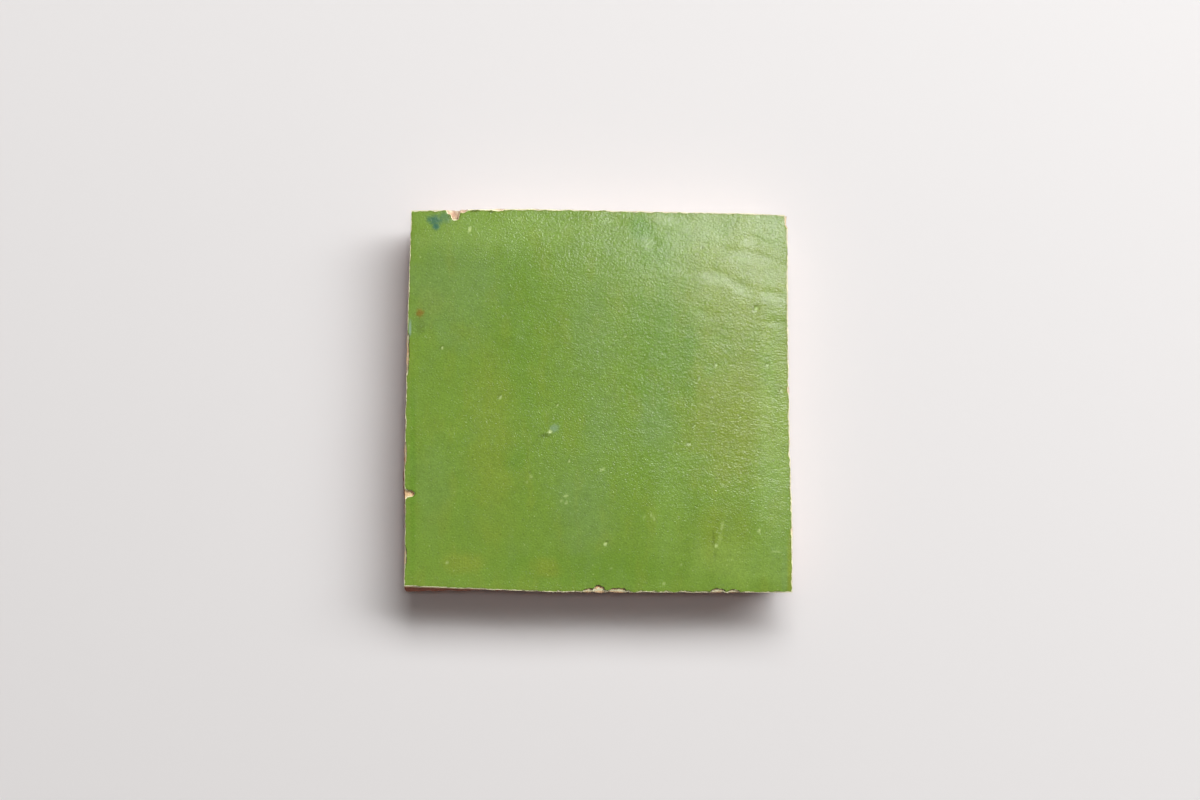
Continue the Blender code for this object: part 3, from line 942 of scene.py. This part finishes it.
    def surface(self) -> tuple[Array, dict[str, Array]]:
        """All points of the tile in the part's frame, and what each shows.

        Returns:
            The points, and by layer the distance inside bare clay in millimetres, less than 0 on the glaze,
            how much painted shade each point takes by a chip wall that turns from the light, and each tint's
            amount on the face.
        """
        top = in_space(self.face, self.face_height(self.face) + self.glaze_relief())
        sides, side_depths = self.side_rings()
        back = self.back()
        points = np.concatenate([top, sides, back])
        bare = np.concatenate([-self.glaze_width(), side_depths, np.full(len(back), self.plan.thickness)])
        bare = np.clip(bare / MM, -self.bare_limit_mm, self.bare_limit_mm)
        wall_shade_amount = np.zeros(len(points))
        for chip in (*CHIPS, *self.small_nicks()):
            self.cut_chip(chip, points, bare, wall_shade_amount)
        points[:, :2] -= self.middle
        return points, {"bare": bare, "wall_shade_amount": wall_shade_amount, **self.tints()}

    def faces(self) -> tuple[Array, Array]:
        """All faces of the closed surface.

        Returns:
            The four-sided faces and the triangles, as point numbers. The triangles are the strip that
            joins the last ring to the back's coarser grid, five to each of that grid's border steps.
        """
        around = self.face_steps * len(Edge)
        first_side = (self.face_steps + 1) ** 2
        first_back = first_side + around * self.side_steps
        rings = first_side + np.arange(around * self.side_steps).reshape(self.side_steps, around)
        rings = np.vstack([grid_border(self.face_steps), rings])
        onward = np.roll(rings, -1, axis=1)
        sides = np.stack([rings[1:], onward[1:], onward[:-1], rings[:-1]], axis=-1).reshape(-1, 4)
        back = grid_quads(self.back_steps)[:, ::-1] + first_back
        quads = np.concatenate([grid_quads(self.face_steps), sides, back])

        inner = grid_border(self.back_steps) + first_back
        first, second, third, fourth = rings[-1].reshape(len(inner), -1).T
        inner_on, end = np.roll(inner, -1), np.roll(first, -1)
        fans = [(inner, second, first), (inner, third, second), (inner, inner_on, third),
                (inner_on, fourth, third), (inner_on, end, fourth)]
        return quads, np.concatenate([np.column_stack(fan) for fan in fans])

    def unwrapped(self, points: Array, triangles: Array) -> Array:
        """Where each face corner lies on the unwrapped picture.

        Args:
            points: The tile's points.
            triangles: The strip round the back.

        Returns:
            Two numbers for each corner, in the faces' order: the face's own shares, a strip for each side
            of its share along and its depth, and the back as it lies.
        """
        layout = self.layout
        grid = np.stack(np.meshgrid(self.shares, self.shares), axis=-1).reshape(-1, 2)
        face = layout.margin + layout.face_size * grid[grid_quads(self.face_steps)]

        start, end, deep = self.shares[:-1], self.shares[1:], 1 - self.depths / self.plan.thickness
        across = np.stack([start, end, end, start], axis=-1)
        up = np.stack([deep[1:], deep[1:], deep[:-1], deep[:-1]], axis=-1)[:, None, None]
        strips = np.stack(np.broadcast_arrays(
            layout.margin + layout.face_size * across,
            layout.strip_feet()[:, None, None] + layout.strip_height * up), axis=-1)

        corner = np.array([layout.face_size + 2 * layout.margin, layout.margin])
        lying = corner + layout.back_size * (points[:, :2] / self.plan.front_length + 0.5)
        back = grid_quads(self.back_steps)[:, ::-1] + len(points) - (self.back_steps + 1) ** 2
        return np.concatenate([part.reshape(-1, 2) for part in (face, strips, lying[back], lying[triangles])])

    def build(self, material: bpy.types.Material) -> bpy.types.Object:
        """Makes the tile's object, with its layers as attributes and its unwrapped picture.

        Args:
            material: The tile's material.

        Returns:
            The object, in the part's frame.
        """
        points, layers = self.surface()
        quads, triangles = self.faces()
        tile = new_mesh_object("glazed_tile", points.tolist(), quads.tolist() + triangles.tolist(), material)
        mesh = tile.data
        for name, values in layers.items():
            values = np.pad(values, (0, len(points) - len(values))).astype(np.float32)
            mesh.attributes.new(name, "FLOAT", "POINT").data.foreach_set("value", values)
        corners = self.unwrapped(points, triangles).astype(np.float32)
        mesh.uv_layers.new(name="OFBake").data.foreach_set("uv", corners.ravel())
        mesh.shade_smooth()
        mesh.set_sharp_from_angle(angle=self.sharp_angle)
        return tile


def new_object(name: str, data: bpy.types.ID) -> bpy.types.Object:
    """Puts a new object into the scene.

    Args:
        name: Its name.
        data: Its mesh, lamp or camera.

    Returns:
        The object.
    """
    made = bpy.data.objects.new(name, data)
    bpy.context.scene.collection.objects.link(made)
    return made


def new_mesh_object(name: str, points: list, faces: list, material: bpy.types.Material) -> bpy.types.Object:
    """Makes a mesh and puts it into the scene.

    Args:
        name: The mesh's name and its object's.
        points: Its points' places.
        faces: Each face's point numbers.
        material: Its material.

    Returns:
        The object.
    """
    mesh = bpy.data.meshes.new(name)
    mesh.from_pydata(points, [], faces)
    mesh.materials.append(material)
    return new_object(name, mesh)


def new_material(name: str) -> bpy.types.Material:
    """Makes a material with nodes: one Principled shader and the output.

    Args:
        name: Its name.

    Returns:
        The material.
    """
    material = bpy.data.materials.new(name)
    material.use_nodes = True
    return material


class Graph:
    """A short hand for wiring shader nodes. Each method adds nodes and returns an output.

    Patterns read the graph's place: an input of a node group, or else the Object coordinates.
    """

    def __init__(self, tree: bpy.types.NodeTree, place: Socket | None = None) -> None:
        """Wraps a node tree and settles its place."""
        self.tree = tree
        self.place = place or self.add("TexCoord", output="Object")

    def feed(self, socket: Socket, value: object) -> None:
        """Links a socket to an output, or sets its own value.

        Args:
            socket: The input socket.
            value: An output socket, a number, or a colour or vector of three numbers.
        """
        if isinstance(value, Socket):
            self.tree.links.new(value, socket)
        else:
            socket.default_value = (*value, 1.0) if socket.type == "RGBA" else value

    def add(
        self, kind: str, inputs: dict | None = None, output: int | str = 0, **settings: object
    ) -> Socket | None:
        """Adds one shader node.

        Args:
            kind: Its kind, without the word ShaderNode.
            inputs: What feeds its inputs, by their names or numbers.
            output: The output's name or number.
            settings: Its own settings.

        Returns:
            The output, or None for a node without any.
        """
        made = self.tree.nodes.new(f"ShaderNode{kind}")
        for name, value in settings.items():
            setattr(made, name, value)
        for key, value in (inputs or {}).items():
            self.feed(made.inputs[key], value)
        return made.outputs[output] if made.outputs else None

    def math(self, operation: str, *values: object, clamp: bool = False) -> Socket:
        """A Math node."""
        return self.add("Math", dict(enumerate(values)), operation=operation, use_clamp=clamp)

    def ramp(self, value: object, low: float, high: float) -> Socket:
        """A smooth step from 0 at low to 1 at high."""
        inputs = {"Value": value, "From Min": low, "From Max": high}
        return self.add("MapRange", inputs, interpolation_type="SMOOTHSTEP")

    def mix_colour(self, share: object, first: object, second: object) -> Socket:
        """The first colour where the share is 0, and the second where it is 1."""
        return self.add("Mix", {0: share, 6: first, 7: second}, 2, data_type="RGBA")

    def tinted(self, colour: object, tone: object, mask: object, share: object) -> Socket:
        """A colour with a tone mixed in, by a mask times a share."""
        return self.mix_colour(self.math("MULTIPLY", mask, share), colour, tone)

    def mix(self, share: object, first: object, second: object) -> Socket:
        """The first number where the share is 0, and the second where it is 1."""
        return self.add("Mix", {0: share, 2: first, 3: second}, data_type="FLOAT")

    def noise(self, scale: object, detail: float = 2.0, rough: float = 0.5, place: object = None) -> Socket:
        """A Noise Texture's value, from 0 to 1 and mostly near a half."""
        inputs = {"Vector": place or self.place, "Scale": scale, "Detail": detail, "Roughness": rough}
        return self.add("TexNoise", inputs, noise_dimensions="3D")

    def relief(self, cell: Socket, **settings: float) -> Socket:
        """A noise less a half, from the size of its cells."""
        return self.math("SUBTRACT", self.noise(self.math("DIVIDE", 1.0, cell), **settings), 0.5)

    def stretched(self, scale: Triple) -> Socket:
        """The place, scaled along each axis."""
        return self.add("Mapping", {"Vector": self.place, "Scale": scale})

    def attribute(self, name: str) -> Socket:
        """A number that the mesh holds at each of its points."""
        return self.add("Attribute", output="Fac", attribute_name=name)

    def group(self, tree: bpy.types.NodeTree, **values: object) -> bpy.types.bpy_prop_collection:
        """Places a node group. A socket's name has spaces where the keyword has _, and place is a default."""
        inputs = {name.replace("_", " ").title(): value
                  for name, value in {"place": self.place, **values}.items()}
        return self.add("Group", inputs, node_tree=tree).node.outputs


SOCKET_KINDS = {"Place": "NodeSocketVector", "Color": "NodeSocketColor"}


def new_group(name: str, inputs: tuple[str, ...], output: str, *more: str) -> tuple[Graph, object, object]:
    """A shader node group. Its socket kinds are those of the table, and else numbers.

    Args:
        name: The group's name.
        inputs: The inputs' names after Place, which comes first.
        output: The first output's name.
        more: The other outputs' names.

    Returns:
        The graph inside it, its inputs' sockets to read from, and its outputs' sockets to feed.
    """
    tree = bpy.data.node_groups.new(name, "ShaderNodeTree")
    for in_out, names in (("INPUT", ("Place", *inputs)), ("OUTPUT", (output, *more))):
        for socket in names:
            kind = SOCKET_KINDS.get(socket, "NodeSocketFloat")
            tree.interface.new_socket(socket, in_out=in_out, socket_type=kind)
    source, sink = tree.nodes.new("NodeGroupInput"), tree.nodes.new("NodeGroupOutput")
    return Graph(tree, source.outputs["Place"]), source.outputs, sink.inputs


def grain_group() -> bpy.types.NodeTree:
    """Fine relief on two scales, as a height for a Bump node.

    Returns:
        The group. Its height is the coarse noise less a half times its amount, plus the same of the fine
        noise, and both cell sizes are lengths in metres.
    """
    inputs = ("Coarse Cell", "Coarse Amount", "Fine Cell", "Fine Amount")
    graph, given, out = new_group("surface_grain", inputs, "Height")
    parts = [graph.math("MULTIPLY", graph.relief(given[f"{size} Cell"]), given[f"{size} Amount"])
             for size in ("Coarse", "Fine")]
    graph.feed(out["Height"], graph.math("ADD", *parts))
    return graph.tree


def speckle_group() -> bpy.types.NodeTree:
    """Small random dots, as a mask.

    Returns:
        The group. A dot is a ball round each random point of a Voronoi texture, its radius a share of the
        cell, and only the share of the points that Density gives have one.
    """
    graph, given, out = new_group("speckle", ("Cell", "Radius", "Density"), "Mask")
    inputs = {"Vector": graph.place, "Scale": graph.math("DIVIDE", 1.0, given["Cell"])}
    distance = graph.add("TexVoronoi", inputs, "Distance", voronoi_dimensions="3D", feature="F1")
    red, green, _ = graph.add("SeparateColor", {0: distance.node.outputs["Color"]}).node.outputs
    chosen = graph.math("LESS_THAN", red, given["Density"])
    size = graph.math("MULTIPLY", given["Radius"], graph.math("ADD", green, 0.5))
    nearness = graph.math("SUBTRACT", 1.0, graph.math("DIVIDE", distance, size), clamp=True)
    graph.feed(out["Mask"], graph.math("MULTIPLY", graph.ramp(nearness, 0.0, 0.5), chosen))
    return graph.tree


def wear_group() -> bpy.types.NodeTree:
    """What shows at the glaze's broken edge.

    Returns:
        The group. Bare is a distance in millimetres, above 0 where clay is bare, and a noise makes its edge
        ragged. Clay is the bare part, Rim the crushed pale glaze just inside it, Wall a broken line along its
        border that carries the painted shade of chip walls, Thin the glaze that thins out beside it, and
        Depth the ragged distance.
    """
    inputs = ("Bare", "Ragged", "Ragged Cell", "Rim Width", "Wall Width", "Thin Width")
    graph, given, out = new_group("edge_wear", inputs, "Clay", "Rim", "Wall", "Thin", "Depth")
    clay_edge = (-0.03, 0.05)
    soft_edge = (1.0, 0.65)
    gaps = (0.36, 0.52)
    gap_scale = 0.6
    scale = graph.math("DIVIDE", 1.0, given["Ragged Cell"])
    noise = graph.math("SUBTRACT", graph.noise(scale, detail=3.0), 0.5)
    distance = graph.math("MULTIPLY_ADD", noise, given["Ragged"], given["Bare"])
    breaks = graph.ramp(graph.noise(graph.math("MULTIPLY", scale, gap_scale)), *gaps)
    in_rims, in_walls, in_thins = (graph.math("DIVIDE", distance, given[f"{part} Width"])
                                   for part in ("Rim", "Wall", "Thin"))
    beside = graph.math("POWER", graph.math("ADD", in_thins, 1.0, clamp=True), 2.0)

    graph.feed(out["Depth"], distance)
    graph.feed(out["Clay"], graph.ramp(distance, *clay_edge))
    graph.feed(out["Rim"], graph.ramp(in_rims, *soft_edge))
    # The Wall line carries the painted shade of chip walls.
    near_wall = graph.ramp(graph.math("ABSOLUTE", in_walls), *soft_edge)
    graph.feed(out["Wall"], graph.math("MULTIPLY", near_wall, breaks))
    graph.feed(out["Thin"], graph.math("MULTIPLY", beside, breaks))
    return graph.tree


def mottle_group() -> bpy.types.NodeTree:
    """Slow variation of a colour's lightness.

    Returns:
        The group. It multiplies the colour by 1 plus Contrast times the noise less a half.
    """
    graph, given, out = new_group("mottle", ("Cell", "Contrast", "Color"), "Color")
    noise = graph.relief(given["Cell"], detail=4.0, rough=0.6)
    factor = graph.math("ADD", 1.0, graph.math("MULTIPLY", noise, given["Contrast"]))
    graph.feed(out["Color"], graph.add("VectorMath", {0: given["Color"], "Scale": factor}, operation="SCALE"))
    return graph.tree


@dataclass(frozen=True)
class GlazeFinish:
    """The green glaze: its colours, its gloss and its grain. Cells and widths are in metres."""

    green: Colour = srgb(121, 155, 57)
    deep: Colour = srgb(102, 146, 40)
    olive: Colour = srgb(142, 156, 54)
    cool: Colour = srgb(122, 155, 82)
    # Painted sheen: the colour of the paler streaks where the glaze reflects the light.
    light: Colour = srgb(148, 181, 86)
    milky_sheen: Colour = srgb(170, 192, 138)
    teal: Colour = srgb(60, 114, 98)
    rust: Colour = srgb(140, 112, 40)
    # Dark marks and dark dots; on the pinholes' rings, the front arris notches and the pits' dark sides it is
    # painted shade.
    shade: Colour = srgb(72, 92, 26)
    # Pale flecks and dots; on the pinholes' far walls and the pits' dots it is a painted glint.
    pale: Colour = srgb(202, 226, 146)
    bluish: Colour = srgb(150, 180, 158)
    thin: Colour = srgb(112, 116, 44)
    roughness: float = 0.14
    roughness_spread: float = 0.08
    gloss_cell: float = 9.0 * MM
    blotch_cell: float = 3.2 * MM
    blotch_contrast: float = 0.26
    speckle_cell: float = 0.45 * MM
    speckle_contrast: float = 0.80
    drawn_out: Triple = (0.85, 1.0, 1.0)
    peel_cell: float = 1.1 * MM
    peel_mm: float = 0.022
    grain_cell: float = 0.42 * MM
    grain_mm: float = 0.042
    dot_cell: float = 1.3 * MM
    dot_radius: float = 0.15
    dot_density: float = 0.35
    dot_share: float = 0.26
    dark_dot_spread: float = 1.4
    streak: Triple = (1.0, 0.35, 1.0)
    streak_cell: float = 4.0 * MM
    streak_share: float = 0.20
    olive_streaks: tuple[float, float] = (0.50, 0.72)
    cool_streaks: tuple[float, float] = (0.48, 0.28)


@dataclass(frozen=True)
class ClayFinish:
    """The fired clay under the glaze: its colours, with painted light and shade among them, its grain and its
    grit.
    """

    # Pink fresh clay and grey clay further in go towards the back and right, the lit sides; ochre fresh clay
    # and red clay further in go towards the front and left, which turn from the light. The darker red there
    # is partly painted shade, and the paler ochre on broken ledges is partly painted light.
    pink: Colour = srgb(186, 150, 134)
    cream: Colour = srgb(224, 208, 178)
    ochre: Colour = srgb(232, 196, 150)
    grey: Colour = srgb(184, 164, 154)
    red: Colour = srgb(162, 92, 66)
    rim: Colour = srgb(230, 227, 188)
    grit: Colour = srgb(96, 66, 52)
    lime: Colour = srgb(238, 228, 210)
    # Painted shade: the near-black of a chip's steep upper wall where it turns from the light.
    wall: Colour = srgb(34, 31, 14)
    roughness: float = 0.92
    fresh_mm: float = 1.1
    weathered_mm: float = 1.9
    # How the clay shifts towards the front and left sides, which turn from the light: its darker weathered
    # colour starts shaded_side_mm sooner, it has fewer cream patches, and the shift runs over
    # shaded_side_reach each way from the middle.
    shaded_side_mm: float = 0.5
    shaded_side_cream: float = -0.10
    shaded_side_reach: float = 30.0 * MM
    patch_cell: float = 2.6 * MM
    cream_patches: tuple[float, float] = (0.41, 0.57)
    pink_patches: tuple[float, float] = (0.5, 0.7)
    pink_share: float = 0.5
    grain_cell: float = 0.7 * MM
    grain_contrast: float = 0.9
    grain_mm: float = 0.11
    fine_cell: float = 0.32 * MM
    fine_mm: float = 0.06
    grit_cell: float = 1.6 * MM
    grit_radius: float = 0.20
    grit_density: float = 0.22
    grit_share: float = 0.6
    lime_spread: float = 1.37


@dataclass(frozen=True)
class EdgeFinish:
    """How the glaze ends at the clay, in millimetres except for the cell, and how strongly it shows."""

    ragged: float = 0.36
    ragged_cell: float = 0.7 * MM
    rim_width: float = 0.36
    # The width and strength of the painted shade line along a chip's upper wall.
    wall_width: float = 0.22
    wall_shade_share: float = 0.95
    thin_width: float = 0.8
    thin_share: float = 0.55
    thin_on_shaded_side: float = 0.25


@dataclass
class FiredTile:
    """The tile's material: glaze where it stayed on, clay where it didn't, and the broken edge between."""

    glaze: GlazeFinish = GlazeFinish()
    clay: ClayFinish = ClayFinish()
    edge: EdgeFinish = EdgeFinish()
    ior: float = 1.6

    def __post_init__(self) -> None:
        """Makes the material, and the node groups that it places."""
        self.grain, self.speckle, self.wear, self.mottle = (
            make() for make in (grain_group, speckle_group, wear_group, mottle_group))
        self.material = new_material("glazed_clay")
        self.graph = Graph(self.material.node_tree)

    def glaze_colour(self) -> Socket:
        """The glaze's colour: its green, the broad patches with painted sheen among them, streaks, blotches,
        dots and the small marks with painted glints and painted shade among them.

        Returns:
            The colour's socket.
        """
        graph, finish = self.graph, self.glaze
        colour: object = finish.green
        for tint in PATCHES:
            colour = graph.mix_colour(graph.attribute(tint.layer), colour, getattr(finish, tint.layer))

        streaks = graph.noise(1 / finish.streak_cell, detail=3.0, place=graph.stretched(finish.streak))
        for tone, ends in ((finish.olive, finish.olive_streaks), (finish.cool, finish.cool_streaks)):
            colour = graph.tinted(colour, tone, graph.ramp(streaks, *ends), finish.streak_share)
        for cell, contrast in ((finish.blotch_cell, finish.blotch_contrast),
                               (finish.speckle_cell, finish.speckle_contrast)):
            colour = graph.group(self.mottle, cell=cell, contrast=contrast, color=colour)[0]
        for tone, spread in ((finish.pale, 1.0), (finish.shade, finish.dark_dot_spread)):
            dots = graph.group(self.speckle, cell=spread * finish.dot_cell, radius=finish.dot_radius,
                               density=finish.dot_density)[0]
            colour = graph.tinted(colour, tone, dots, finish.dot_share)
        for tint in MARKS:
            share = graph.math("MINIMUM", graph.attribute(tint.layer), 1.0)
            colour = graph.mix_colour(share, colour, getattr(finish, tint.layer))
        return colour

    def clay_colour(self, depth: Socket, shaded_side_share: Socket) -> Socket:
        """The clay's colour: fresh pink and cream where it broke, and weathered further in; towards the front
        and left sides, which turn from the light, fresh clay is a paler ochre and clay further in a darker
        red, partly painted light and shade.

        Args:
            depth: How far inside the bare clay a place lies, in millimetres.
            shaded_side_share: How far a place lies towards the front and left sides, which turn from the
                light.

        Returns:
            The colour's socket.
        """
        graph, finish = self.graph, self.clay
        patches = graph.noise(1 / finish.patch_cell, detail=4.0, rough=0.6)
        fresh = graph.mix_colour(shaded_side_share, finish.pink, finish.ochre)
        creamy = graph.math("MULTIPLY_ADD", shaded_side_share, finish.shaded_side_cream, patches)
        fresh = graph.mix_colour(graph.ramp(creamy, *finish.cream_patches), fresh, finish.cream)
        old = graph.mix_colour(shaded_side_share, finish.grey, finish.red)
        old = graph.tinted(old, finish.pink, graph.ramp(patches, *finish.pink_patches), finish.pink_share)
        deep = graph.math("MULTIPLY_ADD", shaded_side_share, finish.shaded_side_mm, depth)
        colour = graph.mix_colour(graph.ramp(deep, finish.fresh_mm, finish.weathered_mm), fresh, old)
        colour = graph.group(self.mottle, cell=finish.grain_cell, contrast=finish.grain_contrast,
                             color=colour)[0]
        for tone, spread in ((finish.grit, 1.0), (finish.lime, finish.lime_spread)):
            dots = graph.group(self.speckle, cell=spread * finish.grit_cell, radius=finish.grit_radius,
                               density=finish.grit_density)[0]
            colour = graph.tinted(colour, tone, dots, finish.grit_share)
        return colour

    def build(self) -> bpy.types.Material:
        """Wires the material's one Principled shader.

        Returns:
            The material, whose colour, roughness and normal vary over the surface.
        """
        graph, glaze, clay, edge = self.graph, self.glaze, self.clay, self.edge
        right, back, _ = graph.add("SeparateXYZ", {0: graph.place}).node.outputs
        # How far a place lies towards the front and left sides, which turn from the light; the clay there
        # takes partly painted shade.
        shaded_side_share = graph.ramp(graph.math("ADD", right, back), clay.shaded_side_reach, -clay.shaded_side_reach)
        wear = graph.group(self.wear, bare=graph.attribute("bare"), ragged=edge.ragged,
                           ragged_cell=edge.ragged_cell, rim_width=edge.rim_width,
                           wall_width=edge.wall_width, thin_width=edge.thin_width)
        thin_share = graph.mix(shaded_side_share, edge.thin_share, edge.thin_on_shaded_side)
        glazed = graph.tinted(self.glaze_colour(), glaze.thin, wear["Thin"], thin_share)
        bare = graph.mix_colour(wear["Rim"], self.clay_colour(wear["Depth"], shaded_side_share), clay.rim)
        colour = graph.mix_colour(wear["Clay"], glazed, bare)
        # Painted shade: a near-black line on the upper walls of the front and left chips, which turn from the
        # light.
        wall = graph.math("MULTIPLY", wear["Wall"], graph.attribute("wall_shade_amount"))
        colour = graph.tinted(colour, clay.wall, wall, edge.wall_shade_share)

        gloss = graph.math("SUBTRACT", graph.noise(1 / glaze.gloss_cell), 0.5)
        gloss = graph.math("MULTIPLY_ADD", gloss, glaze.roughness_spread, glaze.roughness)
        peel = graph.group(self.grain, place=graph.stretched(glaze.drawn_out), coarse_cell=glaze.peel_cell,
                           coarse_amount=glaze.peel_mm, fine_cell=glaze.grain_cell,
                           fine_amount=glaze.grain_mm)[0]
        rock = graph.group(self.grain, coarse_cell=clay.grain_cell, coarse_amount=clay.grain_mm,
                           fine_cell=clay.fine_cell, fine_amount=clay.fine_mm)[0]
        bump = {"Distance": MM, "Height": graph.mix(wear["Clay"], peel, rock)}

        shader = self.material.node_tree.nodes["Principled BSDF"].inputs
        shader["IOR"].default_value = self.ior
        graph.feed(shader["Base Color"], colour)
        graph.feed(shader["Roughness"], graph.mix(wear["Clay"], gloss, clay.roughness))
        graph.feed(shader["Normal"], graph.add("Bump", bump))
        return self.material


@dataclass(frozen=True)
class Softbox:
    """A flat lamp that faces the tile.

    Attributes:
        name: Its name.
        lean_x: The tangent of its lean from overhead, to the right.
        lean_y: The tangent of its lean from overhead, towards the back.
        distance: How far it is.
        wide: Its width, which lies level.
        tall: Its height.
        light: How much of a white floor's full brightness it gives.
        roll: Its turn about its own middle, which lifts its far end.
        mirrored: Whether glossy surfaces show it.
    """

    name: str
    lean_x: float
    lean_y: float
    distance: float
    wide: float
    tall: float
    light: float
    roll: float = 0.0
    mirrored: bool = True

    def build(self) -> bpy.types.Object:
        """Makes the lamp.

        Returns:
            Its object. Its power is the one that lights a level white floor below it to its share of
            full brightness: pi squared, by the distance squared, over the cosine of its lean.
        """
        way = np.array([self.lean_x, self.lean_y, 1.0])
        way /= np.linalg.norm(way)
        lamp = bpy.data.lights.new(self.name, "AREA")
        lamp.shape = "RECTANGLE"
        lamp.size, lamp.size_y = self.wide, self.tall
        lamp.energy = self.light * math.pi**2 * self.distance**2 / way[2]
        made = new_object(self.name, lamp)
        made.location = way * self.distance
        facing = made.location.to_track_quat("Z", "Y") @ Quaternion((0, 0, 1), self.roll)
        made.rotation_euler = facing.to_euler()
        made.visible_glossy = self.mirrored
        return made


@dataclass(frozen=True)
class Studio:
    """A pale floor, a pale surround, two softboxes, a dim fill and the camera straight above."""

    floor_colour: Colour = srgb(233, 232, 232)
    floor_half: float = 4.0
    floor_gap: float = 0.02 * MM
    floor_roughness: float = 0.9
    floor_specular: float = 0.2
    surround_height: float = 4.0
    surround_foot: float = -0.01
    surround_corners: int = 64
    surround_colour: Colour = srgb(232, 230, 229)
    dusk_start: float = 0.7
    dusk_end: float = 1.3
    dusk_share: float = 0.10
    panels: int = 14
    panel_edge: float = 0.45
    panel_share: float = 0.85
    fill: float = 0.155
    fill_colour: Colour = (1.0, 0.80, 0.72)
    lamps: tuple[Softbox, ...] = (
        Softbox("window", lean_x=0.81, lean_y=1.09, distance=2.1, wide=3.14, tall=0.84, light=1.125,
                roll=math.radians(14), mirrored=False),
        Softbox("overhead", lean_x=0.127, lean_y=0.13, distance=2.0, wide=0.24, tall=0.32, light=0.068),
    )
    lens_mm: float = 85.0
    sensor_mm: float = 36.0
    frame_width_px: float = 1200.0
    px_per_mm: float = 3.82
    camera_right_mm: float = 0.46
    camera_up_mm: float = 0.20

    def build_floor(self) -> None:
        """Makes the floor, a pale square just below the tile."""
        material = new_material("floor_paint")
        shader = material.node_tree.nodes["Principled BSDF"].inputs
        shader["Base Color"].default_value = (*self.floor_colour, 1.0)
        shader["Roughness"].default_value = self.floor_roughness
        shader["Specular IOR Level"].default_value = self.floor_specular
        corners = [(x * self.floor_half, y * self.floor_half, -self.floor_gap)
                   for x, y in ((-1, -1), (1, -1), (1, 1), (-1, 1))]
        new_mesh_object("floor", corners, [(0, 1, 2, 3)], material)

    def surround_glow(self) -> bpy.types.Material:
        """The surround's material, which only the camera and mirror-like rays see.

        It darkens upwards, with upright pale panels in the dark part: their edges show the waves of a
        glossy face that is seen from low down.

        Returns:
            The material.
        """
        material = new_material("surround_glow")
        material.node_tree.nodes.clear()
        graph = Graph(material.node_tree)
        rays = graph.add("LightPath").node.outputs
        seen = graph.math("MAXIMUM", rays["Is Camera Ray"], rays["Is Glossy Ray"])
        seen = graph.math("MAXIMUM", seen, rays["Is Transmission Ray"])
        x, y, z = graph.add("SeparateXYZ", {0: graph.place}).node.outputs
        swing = graph.math("SINE", graph.math("MULTIPLY", graph.math("ARCTAN2", y, x), self.panels))
        panel = graph.ramp(swing, -self.panel_edge, self.panel_edge)
        above = graph.mix(panel, self.dusk_share, self.panel_share)
        glow = graph.mix(graph.ramp(z, self.dusk_start, self.dusk_end), 1.0, above)
        inputs = {"Color": self.surround_colour, "Strength": graph.math("MULTIPLY", seen, glow)}
        graph.add("OutputMaterial", {"Surface": graph.add("Emission", inputs)})
        return material

    def build_surround(self) -> None:
        """Makes the pale round wall that stands about the floor."""
        turns = np.linspace(0, 2 * math.pi, self.surround_corners, endpoint=False)
        ring = np.column_stack([np.cos(turns), np.sin(turns)]) * self.floor_half * math.sqrt(2)
        points = np.vstack([in_space(ring, self.surround_foot), in_space(ring, self.surround_height)])
        number = np.arange(len(ring))
        onward = np.roll(number, -1)
        quads = np.column_stack([onward, number, number + len(ring), onward + len(ring)])
        new_mesh_object("surround", points.tolist(), quads.tolist(), self.surround_glow())

    def build_fill(self) -> None:
        """Sets the world to a dim, even, warm grey."""
        world = bpy.data.worlds.new("fill")
        world.use_nodes = True
        background = world.node_tree.nodes["Background"]
        background.inputs["Color"].default_value = (*self.fill_colour, 1.0)
        background.inputs["Strength"].default_value = self.fill
        bpy.context.scene.world = world

    def build_camera(self, face_middle: Array, face_top: float) -> None:
        """Makes the camera, straight above the face, as high as gives the face its width in the photo.

        Args:
            face_middle: The middle of the glazed face, in plan.
            face_top: The height of the glazed face.
        """
        data = bpy.data.cameras.new("camera")
        data.lens, data.sensor_width = self.lens_mm, self.sensor_mm
        frame_width = self.frame_width_px / self.px_per_mm * MM
        camera = new_object("camera", data)
        shift = np.array([self.camera_right_mm, self.camera_up_mm]) * MM
        camera.location = (*(face_middle + shift), face_top + frame_width * self.lens_mm / self.sensor_mm)
        bpy.context.scene.camera = camera

    def build(self, face_middle: Array, face_top: float) -> None:
        """Builds the whole studio.

        Args:
            face_middle: The middle of the glazed face, in plan.
            face_top: The height of the glazed face.
        """
        self.build_floor()
        self.build_surround()
        self.build_fill()
        for lamp in self.lamps:
            lamp.build()
        self.build_camera(face_middle, face_top)
        bpy.context.scene.view_settings.view_transform = "Standard"


def main() -> None:
    """Builds the tile and the studio, and reports each."""
    logging.basicConfig(level=logging.INFO, format="%(name)s: %(message)s")
    tile = GlazedTile()
    piece = tile.build(FiredTile().build())
    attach(piece, BODY)
    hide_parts(NODE)
    LOG.info("%s: %d points, %d faces", piece.name, len(piece.data.vertices), len(piece.data.polygons))

    studio = Studio()
    studio.build(tile.face_middle - tile.middle, tile.plan.thickness)
    LOG.info("studio: %d lamps", len(studio.lamps))


if __name__ == "__main__":
    main()
